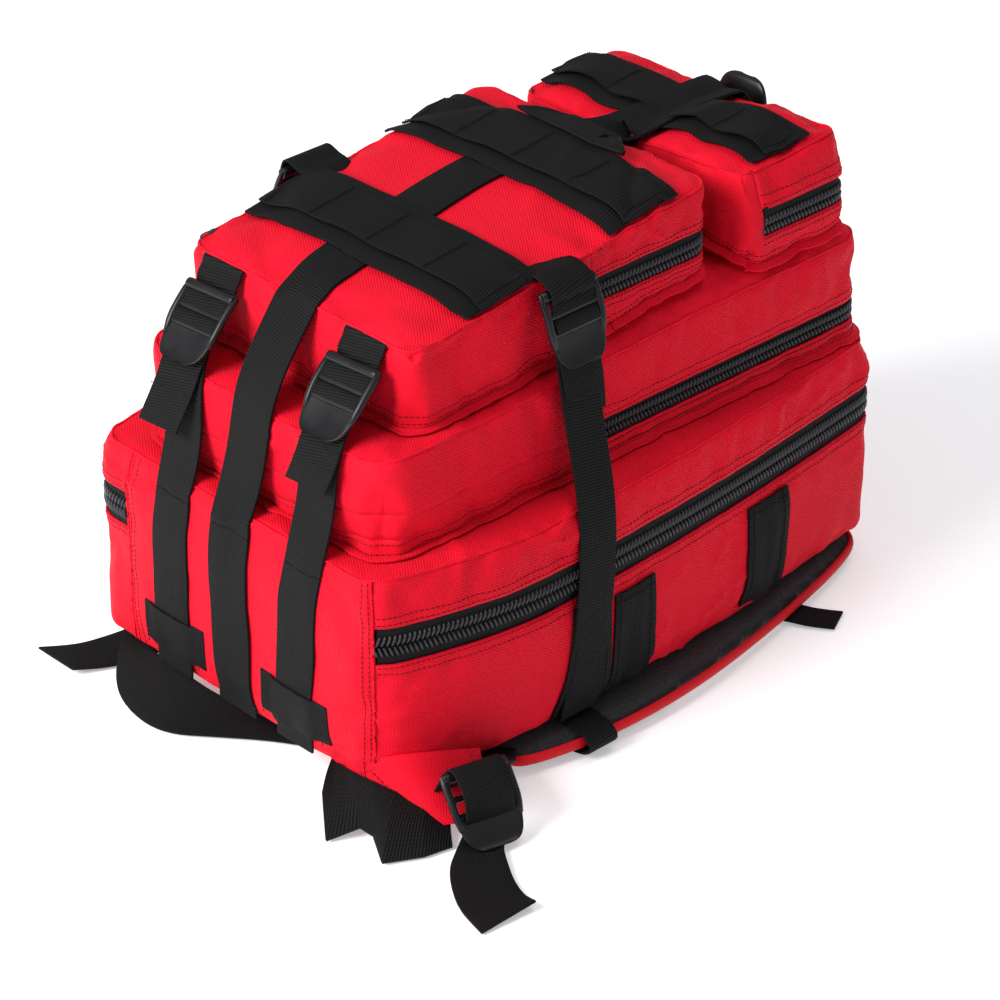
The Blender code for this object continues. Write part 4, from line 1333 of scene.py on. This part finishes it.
PAD_INSET = 0.001
PAD_STITCH_LINES = (-0.120, -0.040, 0.040, 0.120)     # the quilting lines across the back padding


def smooth_loop(loop, rounds=2):
    points = np.array(loop, float)
    for _ in range(rounds):
        after = np.roll(points, -1, axis=0)
        points = np.stack((points * 0.75 + after * 0.25, points * 0.25 + after * 0.75), axis=1).reshape(-1, 2)
    return points


def soft_pad(name, node, body, channels=()):
    """A foam pad: the CAD plate's outline, remeshed and blown up as cloth, flat where it touches something."""
    a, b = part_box(node)
    loop = smooth_loop(outline_of(node))
    middle = loop.mean(axis=0)
    loop = middle + (loop - middle) * (1 - PAD_INSET / np.linalg.norm(loop - middle, axis=1).mean())
    bm = bmesh.new()
    rings = [[bm.verts.new((x, y, z)) for x, y in loop] for z in (a.z + 0.0025, b.z - 0.0025)]
    bm.faces.new(rings[0][::-1])
    bm.faces.new(rings[1])
    for k in range(len(loop)):
        after = (k + 1) % len(loop)
        bm.faces.new((rings[0][k], rings[0][after], rings[1][after], rings[1][k]))
    mesh = bpy.data.meshes.new(name)
    bm.to_mesh(mesh)
    bm.free()
    pad = bpy.data.objects.new(name, mesh)
    SCENE.collection.objects.link(pad)
    voxels = pad.modifiers.new("Voxels", "REMESH")
    voxels.mode = "VOXEL"
    voxels.voxel_size = 0.0045
    cloth = pad.modifiers.new("Cloth", "CLOTH")
    cloth.settings.use_pressure = True
    cloth.settings.uniform_pressure_force = 2.0
    cloth.settings.effector_weights.gravity = 0
    cloth.point_cache.frame_end = 15
    for number in range(1, 16):
        SCENE.frame_set(number)
    done = bpy.data.meshes.new_from_object(pad.evaluated_get(bpy.context.evaluated_depsgraph_get()))
    SCENE.frame_set(1)
    bpy.data.objects.remove(pad)
    for vertex in done.vertices:
        x, y, z = vertex.co
        dip = sum(0.0030 * math.exp(-((y - line) / 0.0035) ** 2) for line in channels)
        share = (z - (a.z + b.z) / 2) / (b.z - a.z) * 2
        vertex.co.z = min(b.z, max(a.z, z)) - dip * share
    done.name = name
    done.shade_smooth()
    done.materials.clear()
    piece = new_piece(name, done, body, "black_mesh", MESH)
    smooth = piece.modifiers.new("Soft", "SUBSURF")
    smooth.levels = smooth.render_levels = 1
    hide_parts(node)


def build_pads():
    soft_pad("back_pad_mesh", "back_pad", "back_half", PAD_STITCH_LINES)
    for side, sign in (("right", 1), ("left", -1)):
        body = f"shoulder_strap_{side}"
        node = f"shoulder_pad_{side}"
        a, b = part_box(node)
        soft_pad(f"{node}_mesh", node, body)
        loop = smooth_loop(outline_of(node), 3)
        rim = [(x, y, (a.z + b.z) / 2) for x, y in loop]
        shapes = Shapes()
        shapes.tube(resample(rim + rim[:1], 0.004)[:-1], 0.0021, 8, 1.9, closed=True)
        shapes.piece(f"shoulder_binding_{side}", body, "red_cloth", BINDING)
        keeper = [(sign * 0.128, -0.078, b.z + 0.0012), (sign * 0.160, -0.078, b.z + 0.0020),
                  (sign * 0.1735, -0.078, 0.0135), (sign * 0.1735, -0.078, 0.0060),
                  (sign * 0.160, -0.078, 0.0012),
                  (sign * 0.128, -0.078, 0.0010)]
        lattice = ribbon_lattice(rounded(keeper, 2), 0.024, (0, 1, 0), step=0.003)
        sheet(f"shoulder_keeper_{side}", lattice, body, 0.0016, offset=0.0)


build_pads()


def spread(points, count):
    """`count` of the points, evenly picked."""
    return [points[k] for k in np.linspace(0, len(points) - 1, count).round().astype(int)]


def loft(rows, columns=13, steps=20):
    """A lattice through a few rows of points, smoothed both ways."""
    lattice = np.array([spread(resample(rounded(row, 3), 0.0005), columns) for row in rows])
    runs = [spread(rounded(lattice[:, c], 3), steps) for c in range(columns)]
    return np.array(runs).transpose(1, 0, 2)


TUCK_DEPTH = 0.0003


def tuck(piece, skin):
    """Cut away what lies inside a compartment, where it would show when the pack is open."""
    bm = bmesh.new()
    bm.from_mesh(piece.data)
    hidden = set()
    for vertex in bm.verts:
        hit, normal, _, _ = skin.tree.find_nearest(vertex.co)
        if (hit - vertex.co).dot(normal) > TUCK_DEPTH:
            vertex.co = hit - normal * TUCK_DEPTH
            hidden.add(vertex)
    inside = [face for face in bm.faces if all(vertex in hidden for vertex in face.verts)]
    bmesh.ops.delete(bm, geom=inside, context="FACES")
    bm.to_mesh(piece.data)
    bm.free()


def build_right_harness():
    """The right lower corner: the wing, the webbing loop, the standing lock and the tail on the floor."""
    wing = loft([[(0.098, -0.2255, 0.0240), (0.1200, -0.2240, 0.0400), (0.1390, -0.2050, 0.0450),
                  (0.1480, -0.1600, 0.0320)],
                 [(0.115, -0.2265, 0.0180), (0.1360, -0.2200, 0.0280), (0.1520, -0.2000, 0.0300),
                  (0.1570, -0.1650, 0.0210)],
                 [(0.142, -0.2225, 0.0110), (0.1570, -0.2125, 0.0160), (0.1640, -0.1980, 0.0170),
                  (0.1650, -0.1780, 0.0130)],
                 [(0.163, -0.2130, 0.0060), (0.1700, -0.2060, 0.0085), (0.1735, -0.1990, 0.0090),
                  (0.1735, -0.1900, 0.0080)]])
    cloth = strap_piece("strap_wing_right_cloth", wing, "back_half", ["strap_wing_right"], thickness=0.0024,
                        material=RED, slot="red_cloth")
    tuck(cloth, MAIN)
    rows = [wing[:, 1] + (0, -0.0004, 0.0012), wing[:, 2] + (0, 0, 0.0016), wing[:, -2] + (0.0006, 0, 0.0010)]
    stitches("strap_wing_right_stitching", rows, "back_half")
    turn = Matrix.Rotation(math.radians(77), 4, "Z") @ Matrix.Rotation(math.radians(55), 4, "X")
    origin = Vector(SHOULDER_LOCK_RIGHT)
    place_lock("shoulder_lock_right", origin, turn, "shoulder_strap_right", 0.034, wraps=False)
    side, down, out = [(turn.to_3x3() @ Vector(way)).normalized() for way in ((1, 0, 0), (0, -1, 0), (0, 0, 1))]
    loop = [Vector((0.150, -0.188, 0.0110)), Vector((0.158, -0.187, 0.0230))]
    loop += [origin + down * along + out * above for along, above in
             ((-0.0060, -0.0020), (-0.0050, 0.0080), (0.0100, 0.0130), (0.0230, 0.0090), (0.0300, 0.0010))]
    lattice = ribbon_lattice(rounded(loop, 3), 0.034, tuple(side), step=0.003)
    across = ("back_half", "shoulder_strap_right", loop[0], loop[3])
    strap_piece("shoulder_loop_right", lattice, None, across=across, offset=0.0)
    end = high("shoulder_tail_right")
    tail_low = low("shoulder_tail_right")
    start = origin + down * 0.0330 - out * 0.0005
    tail = loft([[start - side * 0.018, start + side * 0.018],
                 [(0.1880, -0.2190, 0.0024), (0.2020, -0.1920, 0.0030)],
                 [(0.1970, -0.2320, 0.0020), (0.2130, -0.2000, 0.0030)],
                 [(0.2120, -0.2440, 0.0014), (0.2310, -0.2110, 0.0016)],
                 [(0.2310, -0.2550, 0.0014), (0.2480, -0.2180, 0.0022)],
                 [(end.x - 0.004, tail_low.y - 0.005, 0.0014),
                  (end.x - 0.0005, tail_low.y + 0.036, 0.0060)]], 9, 26)
    strap_piece("shoulder_tail_right_webbing", tail, "shoulder_strap_right", ["shoulder_tail_right"],
                offset=0.0)


SHOULDER_LOCK_RIGHT = (0.1725, -0.1880, 0.0395)
SHOULDER_LOCK_LEFT = (-0.1220, -0.1480, 0.0075)


def build_left_harness():
    wing = loft([[(-0.100, -0.2160, 0.0195), (-0.126, -0.2020, 0.0215), (-0.134, -0.1760, 0.0215),
                  (-0.130, -0.1460, 0.0190)],
                 [(-0.100, -0.2120, 0.0155), (-0.124, -0.2000, 0.0170), (-0.133, -0.1760, 0.0170),
                  (-0.128, -0.1480, 0.0160)],
                 [(-0.108, -0.2040, 0.0135), (-0.120, -0.1960, 0.0140), (-0.126, -0.1760, 0.0140),
                  (-0.122, -0.1540, 0.0135)]])
    cloth = strap_piece("strap_wing_left_cloth", wing, "back_half", ["strap_wing_left"], thickness=0.0022,
                        material=RED, slot="red_cloth")
    tuck(cloth, MAIN)
    turn = Matrix.Rotation(math.radians(4), 4, "Z")
    origin = Vector(SHOULDER_LOCK_LEFT)
    place_lock("shoulder_lock_left", origin, turn, "shoulder_strap_left", 0.034)
    path = [(-0.1190, -0.1900, 0.0072), (-0.1215, -0.2050, 0.0050), (-0.1265, -0.2180, 0.0028),
            (-0.1330, -0.2380, 0.0018), (-0.1440, -0.2610, 0.0050)]
    lattice = ribbon_lattice(rounded(path, 3), 0.036, (1, 0, 0), step=0.003)
    strap_piece("shoulder_tail_left_webbing", lattice, "shoulder_strap_left", ["shoulder_tail_left"], offset=0.0)


def build_pad_webbing():
    """Webbing from each shoulder pad's lower end to its lock, and the chest strap's loose end.

    The right one's path gives each place and the webbing's width direction there.
    """
    path = [(0.122, -0.128, 0.0110, 0.6, 0.8, 0.0), (0.145, -0.146, 0.0150, 0.6, 0.8, 0.0),
            (0.163, -0.166, 0.0300, 0.6, 0.8, 0.0), (0.1715, -0.1860, 0.0400, 0.22, 0.97, 0.0)]
    path = rounded(path, 3)
    lattice = ribbon_lattice(path[:, :3], 0.030, path[:, 3:])
    strap_piece("shoulder_webbing_right", lattice, "shoulder_strap_right", offset=0.0)
    path = rounded([(-0.121, -0.120, 0.0110), (-0.121, -0.134, 0.0085), (-0.122, -0.148, 0.0080)], 3)
    lattice = ribbon_lattice(path, 0.030, (1, 0, 0))
    strap_piece("shoulder_webbing_left", lattice, "shoulder_strap_left", offset=0.0)
    path = [(0.130, 0.118, 0.0030), (0.146, 0.127, 0.0030), (0.156, 0.132, 0.0020), (0.171, 0.143, 0.0016)]
    lattice = ribbon_lattice(rounded(path, 3), 0.022, (0.45, -0.89, 0))
    strap_piece("chest_strap_end", lattice, "shoulder_strap_right", offset=0.0)


def belt(name, rows, steps, bend):
    """A hip belt's webbing; `bend` gives the two lines across the pack where it leaves the back."""
    across = ("back_half", name, (0, bend[0], 0), (0, bend[1], 0))
    strap_piece(f"{name}_webbing", loft(rows, 9, steps), None, [name], across, offset=0.0)


def build_belts():
    outer = [(-0.1160, -0.2260, 0.0210), (-0.1080, -0.2380, 0.0130), (-0.0960, -0.2500, 0.0050),
             (-0.0780, -0.2590, 0.0016), (-0.0500, -0.2640, 0.0014), (-0.0290, -0.2590, 0.0014),
             (-0.0090, -0.2420, 0.0014), (0.0200, -0.2180, 0.0014), (0.0450, -0.2040, 0.0020)]
    inner = [(-0.1080, -0.2180, 0.0190), (-0.0870, -0.2240, 0.0200), (-0.0640, -0.2250, 0.0198),
             (-0.0450, -0.2255, 0.0194), (-0.0280, -0.2240, 0.0172), (-0.0100, -0.2160, 0.0120),
             (0.0100, -0.2080, 0.0080), (0.0350, -0.1960, 0.0040), (0.0600, -0.1860, 0.0030)]
    rows = [[o, tuple((np.array(o) + i) / 2 + (0, 0, 0.0008)), i] for o, i in zip(outer, inner)]
    belt("hip_belt_left", rows, 44, (-0.2180, -0.2500))
    upper = [(0.080, -0.2200, 0.0200), (0.090, -0.2240, 0.0220), (0.106, -0.2260, 0.0240),
             (0.122, -0.2240, 0.0240), (0.136, -0.2200, 0.0220), (0.150, -0.2080, 0.0160),
             (0.160, -0.1960, 0.0060)]
    lower = [(0.097, -0.2440, 0.0130), (0.1240, -0.2650, 0.0014), (0.1330, -0.2460, 0.0060),
             (0.1450, -0.2450, 0.0050), (0.1645, -0.2560, 0.0014), (0.1770, -0.2330, 0.0014),
             (0.1810, -0.2140, 0.0014)]
    rows = [[u, tuple((np.array(u) + v) / 2 + (0, -0.001, 0.002)), v] for u, v in zip(upper, lower)]
    creased = [rows[0]] + [row for row in rows for _ in (0, 1)] + [rows[-1]]
    belt("hip_belt_right", creased, 60, (-0.2260, -0.2460))


def build_handle():
    """The grab handle: webbing sewn down at two feet, with a rolled grip between them."""
    a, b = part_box("grab_handle")
    y = (a.y + b.y) / 2
    foot, span = a.z + 0.003, b.x - 0.0125
    path = [(-span, y - 0.001, foot), (-span + 0.002, y, foot + 0.022), (-span + 0.022, y + 0.001, b.z - 0.014),
            (-0.030, y + 0.0015, b.z - 0.0115), (0.030, y + 0.0015, b.z - 0.0115),
            (span - 0.022, y + 0.001, b.z - 0.014), (span - 0.002, y, foot + 0.022), (span, y - 0.001, foot)]
    points = resample(rounded(path, 3), 0.004)
    along = np.gradient(points, axis=0)
    across = np.cross(along, (0, 1, 0))
    lattice = ribbon_lattice(points, 0.024, across)
    strap_piece("grab_handle_webbing", lattice, "grab_handle", ["grab_handle"], thickness=0.0024, offset=0.0)
    grip = [p for p in points if abs(p[0]) < 0.055]
    shapes = Shapes()
    shapes.tube(grip, capped(grip, 0.0105, 0.9), 14, 0.30, up=(0, 1, 0))
    shapes.piece("grab_handle_grip", "grab_handle", "black_webbing", WEB)
    rows = []
    for sign in (-1, 1):
        box = ((-1, 0), (1, 0), (1, 0.016), (-1, 0.016), (-1, 0), (1, 0.016))
        rows.append([(sign * span + way * 0.009, y + 0.0016, foot + rise) for way, rise in box])
    stitches("grab_handle_stitching", rows, "grab_handle", BLACK_THREAD, radius=0.0004)


def build_inside():
    """The sleeve inside the back panel, with a bound edge."""
    a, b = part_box("inner_sleeve")
    lattice = []
    for v in np.linspace(0, 1, 40):
        row = []
        for u in np.linspace(-1, 1, 25):
            crown = (1 - u * u) * math.sin(math.pi * min(1.0, 0.15 + 0.85 * v))
            swell = crown * 0.35 + 0.65 * (1 - u ** 6) * (1 - (1 - v) ** 6)
            x, y = b.x * u, a.y + (b.y - a.y) * v
            crumple = noise.noise(Vector((x, y, 0)) * 25) * 0.0006
            row.append((x, y, a.z + 0.001 + (b.z - a.z - 0.002) * swell + crumple))
        lattice.append(row)
    cloth = sheet("inner_sleeve_cloth", lattice, "back_half", 0.0012, LINING, "black_mesh", 0.0)
    attach(cloth, ["inner_sleeve"])
    seam("inner_sleeve_binding", lattice[-1], "back_half", 0.0016, WEB, flat=1.2)


build_right_harness()
build_left_harness()
build_pad_webbing()
build_belts()
build_handle()
build_inside()


def build_stage():
    floor = mesh_from("floor", [(-9, -9, 0), (9, -9, 0), (9, 9, 0), (-9, 9, 0)], [[0, 1, 2, 3]])
    backdrop = bpy.data.objects.new("floor", floor)
    SCENE.collection.objects.link(backdrop)
    backdrop.location.z = -0.0006
    paper = Finish("pale_floor")
    floor.materials.append(paper.surface(Base_Color=(0.93, 0.93, 0.94), Emission_Color=(1.0, 1.0, 1.0),
                                         Emission_Strength=0.34, Roughness=0.8))
    world = bpy.data.worlds.new("studio")
    world.use_nodes = True
    sky = world.node_tree.nodes["Background"]
    sky.inputs[0].default_value = (0.93, 0.95, 1.0, 1)
    sky.inputs[1].default_value = 0.40
    SCENE.world = world
    SCENE.view_settings.view_transform = "Standard"
    for name, place, size, power in (("key", (-0.55, -2.4, 1.75), 1.5, 109), ("side", (2.6, -0.2, 1.2), 1.4, 3),
                                     ("top", (0.2, 0.6, 2.9), 1.6, 16)):
        lamp = bpy.data.lights.new(name, "AREA")
        lamp.energy = power
        lamp.size = size
        holder = bpy.data.objects.new(name, lamp)
        holder.location = place
        holder.rotation_euler = (Vector((0, 0, 0.1)) - Vector(place)).to_track_quat("-Z", "Y").to_euler()
        SCENE.collection.objects.link(holder)


def build_camera():
    camera = bpy.data.cameras.new("camera")
    camera.lens = 142.4
    camera.sensor_width = 36.0
    holder = bpy.data.objects.new("camera", camera)
    holder.location = (1.6044, -1.5341, 1.3952)
    aim = Vector((0.0494, -0.0488, 0.1200)) - holder.location
    holder.rotation_euler = aim.to_track_quat("-Z", "Y").to_euler()
    SCENE.collection.objects.link(holder)
    SCENE.camera = holder


build_stage()
build_camera()

SLOT_MATERIALS = {"red_cloth": RED, "black_webbing": WEB, "black_mesh": MESH, "zip_tape": TAPE,
                  "black_plastic": PLASTIC, "slider_metal": METAL, "frame_board": BOARD}
for node in frame["nodes"].values():
    for holder in node.material_slots:
        holder.material = next((m for key, m in SLOT_MATERIALS.items() if key in holder.material.name), RED)
